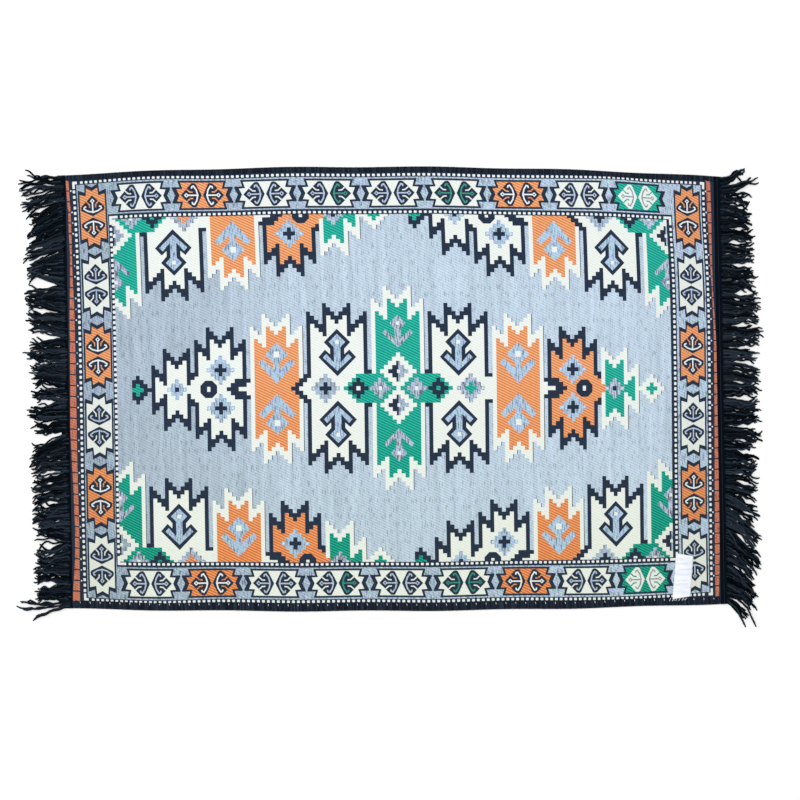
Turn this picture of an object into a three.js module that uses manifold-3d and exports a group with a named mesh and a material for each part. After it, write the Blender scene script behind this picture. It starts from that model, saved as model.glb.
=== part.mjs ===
// A flat-woven kilim rug lying on the floor, in millimetres.
// +X runs along the rug, +Y across it and +Z up, with the floor at z = 0.
// The pieces are the woven cloth, an overcast edging round each long side, a heading with its
// cut fringe sewn to each end, and a blank care label caught in one edging.
import * as THREE from "three";
import { mergeVertices } from "three/addons/utils/BufferGeometryUtils.js";
import Module from "manifold-3d";

// Sizes of the rug as it left the loom, measured from the middle of its pattern
const halfLength = 627;
const halfWidth = 405.5;

// Thickness of each cloth, and the clearance between pieces that are sewn together
const clothThick = 2.4;
const edgingThick = 3.2;
const headingThick = 3;
const labelThick = 1;
const clearance = 0.3;

// The overcast edging is a C of yarn round a thin tongue of the cloth
const edgingWidth = { top: 10, bottom: 14.5 };
const edgingWall = 0.9;
const edgingFold = 3;
const edgingRound = 1.6;
const tongue = { low: 1.2, high: 2 };

// Fringe: the heading strip, and the strands that are fused into it
const headingWidth = 16;
const headingBevel = 0.5;
const strandPitch = 5.2;
const strandWidth = { root: 3, tip: 1.5 };
const strandTop = 0.6;
const strandHeight = 2.2;
const strandSink = 3;
const strandBend = 0.36;
const strandUneven = 0.09;
const scatter = { turn: 12.9898, start: 4.1414, size: 43758.5453 };

// How the laid rug is out of true. lean moves it along X for each millimetre across. drift and
// gather draw the ends in along X. narrow takes width off the ends, least at waistAt. sag carries
// the ends towards -Y, least at sagAt. Each reaches the value given here at pullAt from the middle.
// wander is the wave of the two long edges.
const pull = { lean: 0.0175, drift: 8.4, gather: 20.7, narrow: 0.0317, waistAt: -73, sag: 4.2, sagAt: 110 };
const pullAt = 619.6;
const wander = { deep: 0.9, long: 41 };

// Care label: where the middle of its sewn end lies along the edging, its width, the length of
// its left and right sides, and how far it slants for each millimetre of its length
const label = { at: 530, width: 32, left: 84, right: 72, slant: 0.077 };

// Steps along the cloth, and along the label
const clothSteps = 44;
const labelSteps = 4;

// Tufts of the two fringes. Each row is one tuft of strands that lie together. from and to are
// its roots, tipFrom and tipTo its tips, all in millimetres along the end from the +Y corner,
// and long is how far the tips reach out from the heading.
const tuftColumns = ["from", "to", "tipFrom", "tipTo", "long"];
const leftTufts = [
  [2, 22, -2, 33, 66],
  [26, 46, 40, 71, 66],
  [51, 103, 78, 127, 53],
  [107, 136, 132, 156, 59],
  [141, 199, 161, 183, 53],
  [204, 249, 209, 237, 62],
  [254, 288, 250, 279, 57],
  [304, 319, 306, 318, 53],
  [323, 338, 326, 334, 64],
  [343, 378, 343, 378, 53],
  [394, 411, 394, 405, 50],
  [416, 445, 424, 447, 57],
  [450, 468, 457, 473, 51],
  [473, 537, 501, 541, 55],
  [542, 593, 550, 602, 53],
  [597, 659, 609, 659, 51],
  [683, 737, 686, 739, 51],
  [754, 776, 754, 772, 51],
  [780, 780, 784, 784, 96],
  [784, 784, 794, 794, 80],
  [788, 788, 811, 811, 65],
];
const rightTufts = [
  [3, 15, -14, -5, 39],
  [20, 27, 1, 14, 62],
  [31, 46, 28, 53, 51],
  [51, 93, 60, 92, 50],
  [97, 118, 98, 115, 55],
  [122, 158, 128, 158, 53],
  [163, 209, 168, 208, 59],
  [214, 268, 220, 265, 62],
  [272, 309, 274, 306, 66],
  [314, 334, 318, 332, 59],
  [341, 351, 349, 358, 62],
  [356, 401, 364, 400, 62],
  [405, 453, 408, 450, 61],
  [458, 476, 463, 478, 61],
  [481, 494, 487, 500, 53],
  [499, 552, 508, 553, 55],
  [557, 574, 566, 594, 53],
  [579, 607, 602, 642, 55],
  [612, 638, 650, 677, 57],
  [643, 702, 688, 733, 55],
  [707, 763, 741, 788, 50],
  [768, 780, 797, 820, 33],
];

const fringeYarn = new THREE.MeshStandardMaterial({ color: 0x10151d, roughness: 0.9, metalness: 0 });
const edgingYarn = new THREE.MeshStandardMaterial({ color: 0x161b26, roughness: 0.9, metalness: 0 });
const fieldYarn = new THREE.MeshStandardMaterial({ color: 0xaac0d9, roughness: 0.85, metalness: 0 });
const whiteTape = new THREE.MeshStandardMaterial({ color: 0xefeaf2, roughness: 0.6, metalness: 0 });

const wasm = await Module();
wasm.setup();

// Where a point of the true rug, u along and v across, lies once the rug is laid.
function laid(u, v) {
  const along = u / pullAt;
  const width = 1 - pull.narrow * ((u - pull.waistAt) / pullAt) ** 2;
  const sag = pull.sag * ((u - pull.sagAt) / pullAt) ** 2;
  const wave = wander.deep * Math.sin(u / wander.long) * (v / halfWidth) ** 3;
  const y = v * width - sag + wave;
  const x = u - pull.drift * along ** 2 - pull.gather * along ** 3 - pull.lean * y;
  return new THREE.Vector2(x, y);
}

// A closed solid through equal loops of points, with a flat cap on the first and the last loop.
function loft(loops) {
  const count = loops[0].length;
  const points = loops.flat();
  const faces = [];
  for (let k = 0; k + 1 < loops.length; k++) {
    for (let i = 0; i < count; i++) {
      const here = k * count + i;
      const next = k * count + ((i + 1) % count);
      faces.push(here, next, next + count);
      faces.push(here, next + count, here + count);
    }
  }
  for (const [start, turned] of [[0, true], [points.length - count, false]]) {
    for (const face of capFaces(points.slice(start, start + count))) {
      const corners = turned ? face.toReversed() : face;
      faces.push(...corners.map((i) => start + i));
    }
  }
  return solidGeometry(points, faces);
}

// The triangles of a flat loop, turned the same way as the loop runs.
function capFaces(loop) {
  const spanX = Math.abs(loop[0].x - loop[Math.floor(loop.length / 2)].x);
  const spanY = Math.abs(loop[0].y - loop[Math.floor(loop.length / 2)].y);
  const plan = loop.map((p) => new THREE.Vector2(spanX > spanY ? p.x : p.y, p.z));
  const forward = THREE.ShapeUtils.area(plan) > 0;
  const faces = THREE.ShapeUtils.triangulateShape(plan, []);
  return faces.map((face) => {
    const [a, b, c] = face.map((i) => plan[i]);
    const faceForward = THREE.ShapeUtils.area([a, b, c]) > 0;
    return faceForward === forward ? face : face.toReversed();
  });
}

// An indexed geometry whose faces point outwards.
function solidGeometry(points, faces) {
  let volume = 0;
  for (let i = 0; i < faces.length; i += 3) {
    const [a, b, c] = [points[faces[i]], points[faces[i + 1]], points[faces[i + 2]]];
    volume += a.clone().cross(b).dot(c);
  }
  const outward = volume > 0 ? faces : faces.toReversed();
  const geometry = new THREE.BufferGeometry();
  geometry.setAttribute("position", new THREE.Float32BufferAttribute(points.flatMap((p) => [p.x, p.y, p.z]), 3));
  geometry.setIndex(outward);
  return geometry;
}

// A closed geometry as a solid that can be joined, and such a solid as a geometry again.
function solidOf(geometry) {
  const merged = mergeVertices(geometry, 1e-4);
  const vertProperties = merged.attributes.position.array;
  const triVerts = new Uint32Array(merged.index.array);
  return new wasm.Manifold(new wasm.Mesh({ numProp: 3, vertProperties, triVerts }));
}

function geometryOf(solid) {
  const mesh = solid.getMesh();
  const geometry = new THREE.BufferGeometry();
  geometry.setAttribute("position", new THREE.BufferAttribute(mesh.vertProperties, mesh.numProp));
  geometry.setIndex(new THREE.BufferAttribute(mesh.triVerts, 1));
  return geometry;
}

function piece(name, geometry, material) {
  const mesh = new THREE.Mesh(geometry, material);
  mesh.name = name;
  geometry.computeVertexNormals();
  return mesh;
}

// Even steps from one value to another.
function steps(from, to, count) {
  return Array.from({ length: count + 1 }, (_, i) => from + ((to - from) * i) / count);
}

// A loop of a long piece at one place along the rug, from [across, height] pairs.
function across(u, profile) {
  return profile.map(([v, z]) => {
    const p = laid(u, v);
    return new THREE.Vector3(p.x, p.y, z);
  });
}

// The woven cloth. Its long sides thin to the tongues that the edgings wrap.
function clothGeometry() {
  const end = halfLength - headingWidth - clearance;
  const side = { top: edgingWidth.top + clearance, bottom: edgingWidth.bottom + clearance };
  const tip = edgingFold + clearance;
  const profile = [
    [-halfWidth + side.bottom, 0],
    [halfWidth - side.top, 0],
    [halfWidth - side.top, tongue.low],
    [halfWidth - tip, tongue.low],
    [halfWidth - tip, tongue.high],
    [halfWidth - side.top, tongue.high],
    [halfWidth - side.top, clothThick],
    [-halfWidth + side.bottom, clothThick],
    [-halfWidth + side.bottom, tongue.high],
    [-halfWidth + tip, tongue.high],
    [-halfWidth + tip, tongue.low],
    [-halfWidth + side.bottom, tongue.low],
  ];
  return loft(steps(-end, end, clothSteps).map((u) => across(u, profile)));
}

// One overcast edging. side is +1 along +Y and -1 along -Y.
function edgingGeometry(side, width) {
  const end = halfLength - headingWidth - clearance;
  const middle = edgingThick / 2;
  const soft = edgingRound / 3;
  const slotLow = edgingWall;
  const slotHigh = edgingThick - edgingWall;
  const profile = [
    [0, middle],
    [soft, soft],
    [edgingRound, 0],
    [width, 0],
    [width, slotLow],
    [edgingFold, slotLow],
    [edgingFold, slotHigh],
    [width, slotHigh],
    [width, edgingThick],
    [edgingRound, edgingThick],
    [soft, edgingThick - soft],
  ].map(([inward, z]) => [side * (halfWidth - inward), z]);
  return loft(steps(-end, end, clothSteps).map((u) => across(u, profile)));
}

// The strip that a fringe hangs from. end is -1 on the left and +1 on the right.
function headingGeometry(end) {
  const inner = halfLength - headingWidth;
  const profile = [
    [halfLength, 0],
    [halfLength, headingThick - headingBevel],
    [halfLength - headingBevel, headingThick],
    [inner + headingBevel, headingThick],
    [inner, headingThick - headingBevel],
    [inner, 0],
  ];
  const loops = [-halfWidth, halfWidth].map((v) =>
    profile.map(([u, z]) => {
      const p = laid(end * u, v);
      return new THREE.Vector3(p.x, p.y, z);
    }),
  );
  return loft(loops);
}

// A value from -1 to 1 that looks random but is the same for the same number.
function uneven(n) {
  const wave = Math.sin(n * scatter.turn + scatter.start) * scatter.size;
  return 2 * (wave - Math.floor(wave)) - 1;
}

// One strand: a tapering bar that lies level on the floor, from inside the heading to its tip.
function strandGeometry(root, tip, outward) {
  const start = root.clone().addScaledVector(outward, -strandSink);
  const middle = new THREE.Vector2(
    (root.x + tip.x) / 2,
    THREE.MathUtils.lerp(root.y, tip.y, strandBend),
  );
  const line = [start, middle, tip];
  const loops = line.map((p, i) => {
    const last = line.length - 1;
    const before = line[Math.max(i - 1, 0)];
    const after = line[Math.min(i + 1, last)];
    const run = i === 0 ? outward : after.clone().sub(before).normalize();
    const sideways = new THREE.Vector2(-run.y, run.x);
    const width = THREE.MathUtils.lerp(strandWidth.root, strandWidth.tip, i / last);
    const corners = [
      [-width / 2, 0],
      [width / 2, 0],
      [(strandTop * width) / 2, strandHeight],
      [(-strandTop * width) / 2, strandHeight],
    ];
    return corners.map(([w, z]) => new THREE.Vector3(p.x + w * sideways.x, p.y + w * sideways.y, z));
  });
  return loft(loops);
}

// One end's heading and its strands, joined into a single solid.
function fringeGeometry(end, tufts) {
  const cornerA = laid(end * halfLength, halfWidth);
  const cornerB = laid(end * halfLength, -halfWidth);
  const downEnd = cornerB.clone().sub(cornerA).normalize();
  const outward = new THREE.Vector2(end, 0);
  const parts = [solidOf(headingGeometry(end))];
  for (const row of tufts) {
    const tuft = Object.fromEntries(tuftColumns.map((name, i) => [name, row[i]]));
    const count = Math.max(1, Math.round((tuft.to - tuft.from) / strandPitch));
    for (let i = 0; i <= count; i++) {
      if (tuft.to === tuft.from && i > 0) break;
      const share = i / count;
      const rootAt = THREE.MathUtils.lerp(tuft.from, tuft.to, share);
      const tipAt = THREE.MathUtils.lerp(tuft.tipFrom, tuft.tipTo, share);
      const reach = tuft.long * (1 + strandUneven * uneven(parts.length));
      const root = cornerA.clone().addScaledVector(downEnd, rootAt);
      const tip = cornerA.clone().addScaledVector(downEnd, tipAt).addScaledVector(outward, reach);
      parts.push(solidOf(strandGeometry(root, tip, outward)));
    }
  }
  return geometryOf(wasm.Manifold.union(parts));
}

// The care label lies on the cloth, and its sewn end meets the -Y edging.
function labelGeometry() {
  const lip = -halfWidth + edgingWidth.bottom + clearance;
  const foot = laid(label.at, lip);
  const alongLip = laid(label.at + 1, lip).sub(foot).normalize();
  const up = new THREE.Vector2(label.slant, 1).normalize();
  const footLeft = foot.clone().addScaledVector(alongLip, -label.width / 2);
  const footRight = foot.clone().addScaledVector(alongLip, label.width / 2);
  const low = clothThick + clearance;
  const high = low + labelThick;
  const loops = steps(0, 1, labelSteps).map((share) => {
    const left = footLeft.clone().addScaledVector(up, label.left * share);
    const right = footRight.clone().addScaledVector(up, label.right * share);
    const corners = [[left, low], [right, low], [right, high], [left, high]];
    return corners.map(([p, z]) => new THREE.Vector3(p.x, p.y, z));
  });
  return loft(loops);
}

const rug = new THREE.Group();
rug.add(piece("woven_cloth", clothGeometry(), fieldYarn));
rug.add(piece("edging_back", edgingGeometry(1, edgingWidth.top), edgingYarn));
rug.add(piece("edging_front", edgingGeometry(-1, edgingWidth.bottom), edgingYarn));
rug.add(piece("fringe_left", fringeGeometry(-1, leftTufts), fringeYarn));
rug.add(piece("fringe_right", fringeGeometry(1, rightTufts), fringeYarn));
rug.add(piece("care_label", labelGeometry(), whiteTape));

// The part's origin is on the floor under the middle of everything, fringes included.
const middle = new THREE.Box3().setFromObject(rug).getCenter(new THREE.Vector3());
rug.position.set(-middle.x, -middle.y, 0);

export default rug;
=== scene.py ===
# %% [markdown]
# This notebook dresses a kilim rug. A kilim is woven flat, with no pile: coloured weft yarns are
# packed over the warp, and where one colour ends and another begins the pattern makes small steps.
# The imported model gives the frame. It holds plain solids for the cloth, its two overcast long
# edges, the two headings with their fringes, and a care label, all in metres.

# %% Load the frame
import math
import random

import bpy
import numpy as np
from mathutils.geometry import delaunay_2d_cdt
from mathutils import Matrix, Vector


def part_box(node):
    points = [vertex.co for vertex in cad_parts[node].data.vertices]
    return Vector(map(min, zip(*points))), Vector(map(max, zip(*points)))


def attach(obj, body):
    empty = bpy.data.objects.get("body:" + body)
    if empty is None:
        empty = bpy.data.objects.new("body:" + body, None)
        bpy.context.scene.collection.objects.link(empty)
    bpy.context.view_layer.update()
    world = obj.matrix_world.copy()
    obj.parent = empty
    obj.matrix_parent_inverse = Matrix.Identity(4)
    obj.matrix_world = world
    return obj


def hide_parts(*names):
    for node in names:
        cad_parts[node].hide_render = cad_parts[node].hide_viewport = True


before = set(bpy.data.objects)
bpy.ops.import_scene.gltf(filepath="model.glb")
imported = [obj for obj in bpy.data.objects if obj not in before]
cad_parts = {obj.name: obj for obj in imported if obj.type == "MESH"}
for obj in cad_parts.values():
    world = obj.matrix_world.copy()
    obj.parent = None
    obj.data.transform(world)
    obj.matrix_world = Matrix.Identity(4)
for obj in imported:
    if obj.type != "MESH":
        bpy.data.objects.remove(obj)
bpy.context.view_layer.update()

print("nodes:", ", ".join(sorted(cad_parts)))

# %% [markdown]
# The photograph is taken from straight above, so the camera looks straight down. A long lens far
# away keeps the sides of the rug from leaning outwards. One pixel of the photograph is 1.825 mm on
# the floor, and its middle lies a little to one side of the rug's own middle.

# %% Camera straight above
MM = 0.001
PIXEL = 1.825 * MM
PHOTO_WIDTH = 800
PHOTO_MIDDLE = (27.2 * MM, -6.6 * MM)
LENS = 85.0
SENSOR = 36.0

camera_data = bpy.data.cameras.new("photo_camera")
camera_data.lens = LENS
camera_data.sensor_width = SENSOR
camera = bpy.data.objects.new("photo_camera", camera_data)
camera.location = (*PHOTO_MIDDLE, PHOTO_WIDTH * PIXEL * LENS / SENSOR)
bpy.context.scene.collection.objects.link(camera)
bpy.context.scene.camera = camera
print("camera height:", round(camera.location.z, 2), "m")

# %% [markdown]
# A studio sweep is one pale surface with soft light. The floor is a wide plane just under the rug.
# One large lamp above gives nearly even light, a second one low on the side grazes the cloth so
# that the weave shows, and a pale world fills the shadows.

# %% Floor and light
FLOOR_SIZE = 60.0
FLOOR_DROP = 0.3 * MM
FLOOR_WHITE = (0.98, 0.98, 0.98)
WORLD_STRENGTH = 0.42
LAMPS = {
    "lamp_above": {"place": (-0.2, 0.25, 4.5), "turn": (-3, -3, 0), "size": 4.0, "power": 158},
    "lamp_side": {"place": (-4.2, 2.6, 2.6), "turn": (0, -62, -32), "size": 1.6, "power": 52},
}


def lamp(name, place, turn, size, power):
    """A square soft lamp at place, turned from straight down by turn, in degrees."""
    data = bpy.data.lights.new(name, "AREA")
    data.shape = "SQUARE"
    data.size = size
    data.energy = power
    light = bpy.data.objects.new(name, data)
    light.location = place
    light.rotation_euler = [math.radians(angle) for angle in turn]
    bpy.context.scene.collection.objects.link(light)


def make_floor():
    """The pale floor under the rug."""
    half = FLOOR_SIZE / 2
    corners = [(x, y, -FLOOR_DROP) for x, y in ((-half, -half), (half, -half), (half, half), (-half, half))]
    mesh = bpy.data.meshes.new("floor")
    mesh.from_pydata(corners, [], [(0, 1, 2, 3)])
    floor = bpy.data.objects.new("floor", mesh)
    bpy.context.scene.collection.objects.link(floor)
    material = bpy.data.materials.new("pale_floor")
    material.use_nodes = True
    shader = material.node_tree.nodes["Principled BSDF"]
    shader.inputs["Base Color"].default_value = (*FLOOR_WHITE, 1)
    shader.inputs["Roughness"].default_value = 0.9
    shader.inputs["Specular IOR Level"].default_value = 0.1
    mesh.materials.append(material)


make_floor()
for name, values in LAMPS.items():
    lamp(name, **values)
world = bpy.data.worlds.new("studio")
world.use_nodes = True
world.node_tree.nodes["Background"].inputs["Color"].default_value = (1, 1, 1, 1)
world.node_tree.nodes["Background"].inputs["Strength"].default_value = WORLD_STRENGTH
bpy.context.scene.world = world
bpy.context.scene.view_settings.view_transform = "Standard"

# %% [markdown]
# A rug is woven square and then lies a little out of true: it is slightly narrower at its ends,
# leans, and its long edges wander. So everything is drawn on the square cloth, with u along it and
# v across it, in millimetres from the middle of the pattern, and one function says where such a
# point lies on the floor. It is the same rule that the solids follow.

# %% From the square cloth to the laid rug
PULL_AT = 619.6
LEAN = 0.0175
DRIFT = 8.4
GATHER = 20.7
NARROW = 0.0317
WAIST_AT = -73
SAG = 4.2
SAG_AT = 110
WANDER = 0.9
WANDER_LENGTH = 41
HALF_LENGTH = 627.0
HALF_WIDTH = 405.5
HEADING = 16.0
CLEARANCE = 0.3
EDGE_BACK = 10.0
EDGE_FRONT = 14.5
EDGE_FOLD = 3.3


def pulled(u, v):
    """The laid place of cloth points, in millimetres, before the rug is centred."""
    u, v = np.asarray(u, float), np.asarray(v, float)
    along = u / PULL_AT
    width = 1 - NARROW * ((u - WAIST_AT) / PULL_AT) ** 2
    sag = SAG * ((u - SAG_AT) / PULL_AT) ** 2
    wave = WANDER * np.sin(u / WANDER_LENGTH) * (v / HALF_WIDTH) ** 3
    y = v * width - sag + wave
    return u - DRIFT * along**2 - GATHER * along**3 - LEAN * y, y


CLOTH_END = HALF_LENGTH - HEADING - CLEARANCE
CLOTH_HALF = HALF_WIDTH - EDGE_FOLD
SOLID_STEPS = 44
along_side = np.linspace(-CLOTH_END, CLOTH_END, SOLID_STEPS + 1)
rim_x, rim_y = pulled(along_side, np.array([[CLOTH_HALF], [-CLOTH_HALF]]))
cloth_low, cloth_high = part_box("woven_cloth")
SHIFT_X = (cloth_low.x + cloth_high.x) / 2 - (rim_x.min() + rim_x.max()) / 2 * MM
SHIFT_Y = (cloth_low.y + cloth_high.y) / 2 - (rim_y.min() + rim_y.max()) / 2 * MM
CLOTH_TOP = cloth_high.z


def laid(u, v, z=0.0):
    """Points of the square cloth as points of the frame, in metres. z is in metres too."""
    x, y = pulled(u, v)
    return np.stack(np.broadcast_arrays(x * MM + SHIFT_X, y * MM + SHIFT_Y, z), axis=-1)


print("the pattern's middle lies at", laid(0, 0).round(4))

# %% [markdown]
# A weaver keeps a list of what is laid over what. Here the pattern is such a list too: each entry
# is the name of a yarn and an outline on the square cloth, and a later entry covers an earlier one.
# The field follows a chart of cells, one step of the weave each. The border is drawn in
# millimetres.

# %% The list of woven shapes
CELL_U = 7.364
CELL_V = 7.54
MIDDLE_V = 1.55
LEAST_AREA = 1.0

woven = []


def area_of(outline):
    """The area inside an outline, above zero where it turns anticlockwise."""
    return sum(a[0] * b[1] - b[0] * a[1] for a, b in zip(outline, outline[1:] + outline[:1])) / 2


def weave(yarn, outline):
    """Adds one shape to the pattern. The outline is in millimetres from the pattern's middle."""
    if abs(area_of(outline)) > LEAST_AREA:
        woven.append((yarn, [(min(max(u, -CLOTH_END), CLOTH_END), v + MIDDLE_V) for u, v in outline]))


def block(left, right, low, high):
    """A rectangle."""
    return [(left, low), (right, low), (right, high), (left, high)]


def columns(first, tops):
    """A stepped shape, the same above and below its axis, from the height of each column."""
    upper = []
    for step, top in enumerate(tops):
        upper += [(first + step - 0.5, top), (first + step + 0.5, top)]
    return upper + [(i, -k) for i, k in reversed(upper)]


def tower(middle, tops):
    """Columns that are the same left and right. tops runs from the outermost column inwards."""
    return columns(middle - len(tops) + 1, tops + tops[-2::-1])


def stack(middle, row, reach):
    """A stepped diamond or band. reach is the half width of each row from the middle row out."""
    upper = [(reach[0], 0.5)]
    for step, half in enumerate(reach[1:]):
        upper += [(half, step + 0.5), (half, step + 1.5)]
    right = [(i, -k) for i, k in reversed(upper)] + upper
    shape = right + [(-i, k) for i, k in reversed(right)]
    return [(middle + i, row + k) for i, k in shape]


def two_sided(half):
    """A shape from the points of its right half, from the top down."""
    return half + [(-i, k) for i, k in reversed(half) if i]


def moved(outline, i, flip=1):
    """An outline carried along the axis, upside down where flip is -1."""
    return [(i + a, flip * b) for a, b in outline]


print("cloth:", round(2 * CLOTH_END), "mm long between the headings")

# %% [markdown]
# The grounds come first, as plain rectangles one inside the other: navy to the rim, navy again
# inside the edgings, so that the cloth has a line to thin along, the blue band of the border, navy
# under the inner dots, and the field. The border is wider at the ends than along the sides, so each
# of its lines has three measures from the middle of the pattern: to the sides, left and right.

# %% Grounds
BORDER = {
    "field": (317.0, 518.5, 518.5),
    "inner dots": (321.0, 520.9, 526.3),
    "band in": (326.9, 525.2, 531.0),
    "stars": (356.2, 553.8, 562.9),
    "band out": (386.0, 583.0, 592.6),
    "outer dots": (389.9, 588.3, 597.5),
}
SIDE, LEFT, RIGHT = (dict(zip(BORDER, places)) for places in zip(*BORDER.values()))


def frame_of(yarn, name):
    """A rectangle round the rug out to one of the border's lines."""
    weave(yarn, block(-LEFT[name], RIGHT[name], -SIDE[name], SIDE[name]))


woven.append(("navy", block(-CLOTH_END, CLOTH_END, -CLOTH_HALF, CLOTH_HALF)))
woven.append(("navy", block(-CLOTH_END, CLOTH_END, EDGE_FRONT - HALF_WIDTH, HALF_WIDTH - EDGE_BACK)))
frame_of("band blue", "band out")
frame_of("navy", "band in")
frame_of("field blue", "field")
print("grounds:", ", ".join(yarn for yarn, _ in woven))

# %% [markdown]
# The medallion is a row of stepped towers, tallest in the middle. A tower is charted by the height
# of each column of cells, from its outermost column inwards. Its inside, of another colour, is one
# column narrower on each side and three cells lower. Under each ivory tower lies a navy copy moved a
# little to the right, a hairline of painted shadow along its right side.

# %% The towers of the medallion
# How far, in cells, the navy copy of painted shadow lies to the right of an ivory shape.
SHADOW_SHIFT = 0.17
TALL = [21.5, 20.5, 19.5, 24.5, 23.5, 22.5, 21.5]
HIGH = [18.5, 17.5, 16.5, 15.5, 20.5, 19.5, 18.5, 17.5]
BROAD = [15.0, 14.0, 13.0, 18.0, 17.0, 16.0, 15.0]
LOW = [12.0, 11.0, 10.0, 15.0, 14.0, 13.0, 12.0]
SMALL = [10.0, 9.0, 8.0, 7.0]
INSIDE_LOWER = 3

medallion = []


def cell(yarn, outline):
    """Adds one shape to the medallion, in cells from its middle."""
    medallion.append((yarn, outline))


def inside_of(tops):
    """The columns of the inside that belong to an outline's columns."""
    return [top - INSIDE_LOWER for top in tops[:-1]]


def put_tower(middle, tops, edge, ground):
    """One tower: its outline and its inside."""
    if edge == "ivory":
        # Painted shadow: a navy copy moved to the right shows as a dark hairline along the right side.
        cell("navy", moved(tower(middle, tops), SHADOW_SHIFT))
    cell(edge, tower(middle, tops))
    cell(ground, tower(middle, inside_of(tops)))


for middle in (-30, 30):
    put_tower(middle, BROAD, "ivory", "orange")
put_tower(-15, HIGH, "navy", "ivory")
put_tower(15, HIGH, "navy", "ivory")
put_tower(0, TALL, "ivory", "green")
put_tower(-44, LOW, "navy", "ivory")
put_tower(44, LOW, "navy", "orange")
put_tower(-55, SMALL, "navy", "ivory")
put_tower(55, SMALL, "ivory", "green")
print("towers:", len(medallion), "shapes")

# %% [markdown]
# The towers are linked along the axis. Their side bars stop short of it, the ground of one flows
# through the gap, and small feet, a chevron and a stepped fork of navy close the corners. A link is
# a list of bars: the yarn, how near and how far from the middle each bar runs, and how high it
# reaches above and below the axis. A last number leaves it open up to that height.

# %% Links between the towers
CHEVRON = [
    ("navy", 21.5, 23.5, 3.5, 2.5), ("ivory", 21.5, 22.5, 2.5),
    ("navy", 22.5, 24.5, 2.5, 1.5), ("ivory", 22.5, 23.5, 1.5),
    ("navy", 23.5, 25.5, 1.5, 0.5), ("ivory", 23.5, 24.5, 0.5),
    ("navy", 24.5, 26.5, 0.5),
]
OPEN_GAP = [("ivory", 21.5, 23.5, 2.7), ("navy", 21.5, 23.5, 3.6, 2.7)]
FOOT = [("navy", 6.5, 8.5, 4.5, 3.5)]
FORK_AND_FOOT = [
    ("navy", 36.5, 40.5, 2.5, 1.5), ("navy", 37.5, 41.5, 1.5, 0.5), ("navy", 39.5, 42.5, 0.5),
    ("ivory", 36.5, 37.5, 1.5), ("ivory", 37.5, 39.5, 0.5), ("navy", 50.5, 51.5, 4.1, 2.3),
    ("ground", 49.5, 50.5, 3.1), ("ground", 50.5, 51.5, 2.3), ("ground", 51.5, 52.6, 1.0),
]


def bar(yarn, side, near, far, high, low=None):
    """A block that crosses the axis, or one above and one below it where low is given."""
    left, right = sorted((side * near, side * far))
    if low is None:
        cell(yarn, block(left, right, -high, high))
    else:
        cell(yarn, block(left, right, low, high))
        cell(yarn, block(left, right, -high, -low))


def link(side, bars, ground=None):
    """The bars of one link, on the left (-1) or the right (1)."""
    for yarn, *sizes in bars:
        bar(ground if yarn == "ground" else yarn, side, *sizes)


link(-1, CHEVRON)
link(1, OPEN_GAP)
link(-1, FOOT)
link(1, FOOT)
link(-1, FORK_AND_FOOT, "ivory")
link(1, FORK_AND_FOOT, "orange")
print("with links:", len(medallion), "shapes")

# %% [markdown]
# Both tips end in small steps: a half tower on the last bar, and beyond it a stepped diamond with
# a green cross. The left tip is navy and the right one ivory.

# %% Tips of the medallion
TIP = [6.0, 5.0, 4.0]
TIP_AT = 61
DIAMOND_AT = 65
FLOWER = [3.5, 2.5, 1.5, 0.5]
CROSS = [1.5, 0.5]


def tip_columns(side, tops, first):
    """Columns that run from the far end of the tip inwards, on either side."""
    if side > 0:
        return columns(first - len(tops) + 1, tops[::-1])
    return columns(-first, tops)


def put_tip(side, edge, ground):
    """The half tower that closes one end, open towards the small tower beside it."""
    if edge == "ivory":
        # Painted shadow: a navy copy moved to the right, under the ivory tip.
        cell("navy", moved(tip_columns(side, TIP, TIP_AT), SHADOW_SHIFT))
    cell(edge, tip_columns(side, TIP, TIP_AT))
    cell(ground, tip_columns(side, inside_of(TIP), TIP_AT - 1))
    bar(ground, side, 56.9, 58.6, 1.0)


put_tip(-1, "navy", "ivory")
put_tip(1, "ivory", "green")
cell("navy", columns(-DIAMOND_AT - 1, [2.5, *FLOWER]))
cell("green", stack(-DIAMOND_AT, 0, CROSS))
bar("ivory", 1, 61.5, 62.6, 0.5)
# Painted shadow: a navy copy moved to the right, under the ivory flower.
cell("navy", moved(stack(DIAMOND_AT, 0, FLOWER), SHADOW_SHIFT))
cell("ivory", stack(DIAMOND_AT, 0, FLOWER))
cell("green", stack(DIAMOND_AT, 0, CROSS))
print("with tips:", len(medallion), "shapes")

# %% [markdown]
# Flowers are stepped diamonds with a cross, and each big tower holds two arrow shapes, a diamond
# on a stem over a chevron. Their sides slant, which a weaver does with many tiny steps, so here
# they are plain slanted lines. Only the points of one half are listed, from the top down.

# %% Flowers and arrows
SMALL_FLOWER = FLOWER[1:]
NUB_IN = 0.55
NUB_WIDE = 0.22
NUB_HIGH = 0.25
ARROW_RIM = [(0, 14.3), (3.25, 11.1), (1.75, 9.5), (1.75, 8.2), (3.0, 9.3), (4.65, 7.5), (0, 2.9)]
ARROW_IN_IVORY = [(0, 13.1), (2.05, 11.15), (0.8, 9.9), (0.8, 6.2), (2.7, 8.3), (3.55, 7.4), (0, 4.2)]
ARROW_IN_ORANGE = [(0, 11.1), (2.9, 8.25), (0.8, 6.2), (0.8, 4.7), (3.5, 7.2), (4.55, 6.1), (0, 1.2)]
ARROW_IN_GREEN = [(0, 17.6), (2.0, 15.6), (0.75, 14.3), (0.75, 11.9), (3.1, 14.1), (3.75, 13.3), (0, 9.7)]


def spot(middle, row, wide, tall):
    """A small block from its middle, its half width and its half height."""
    return block(middle - wide, middle + wide, row - tall, row + tall)


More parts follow.
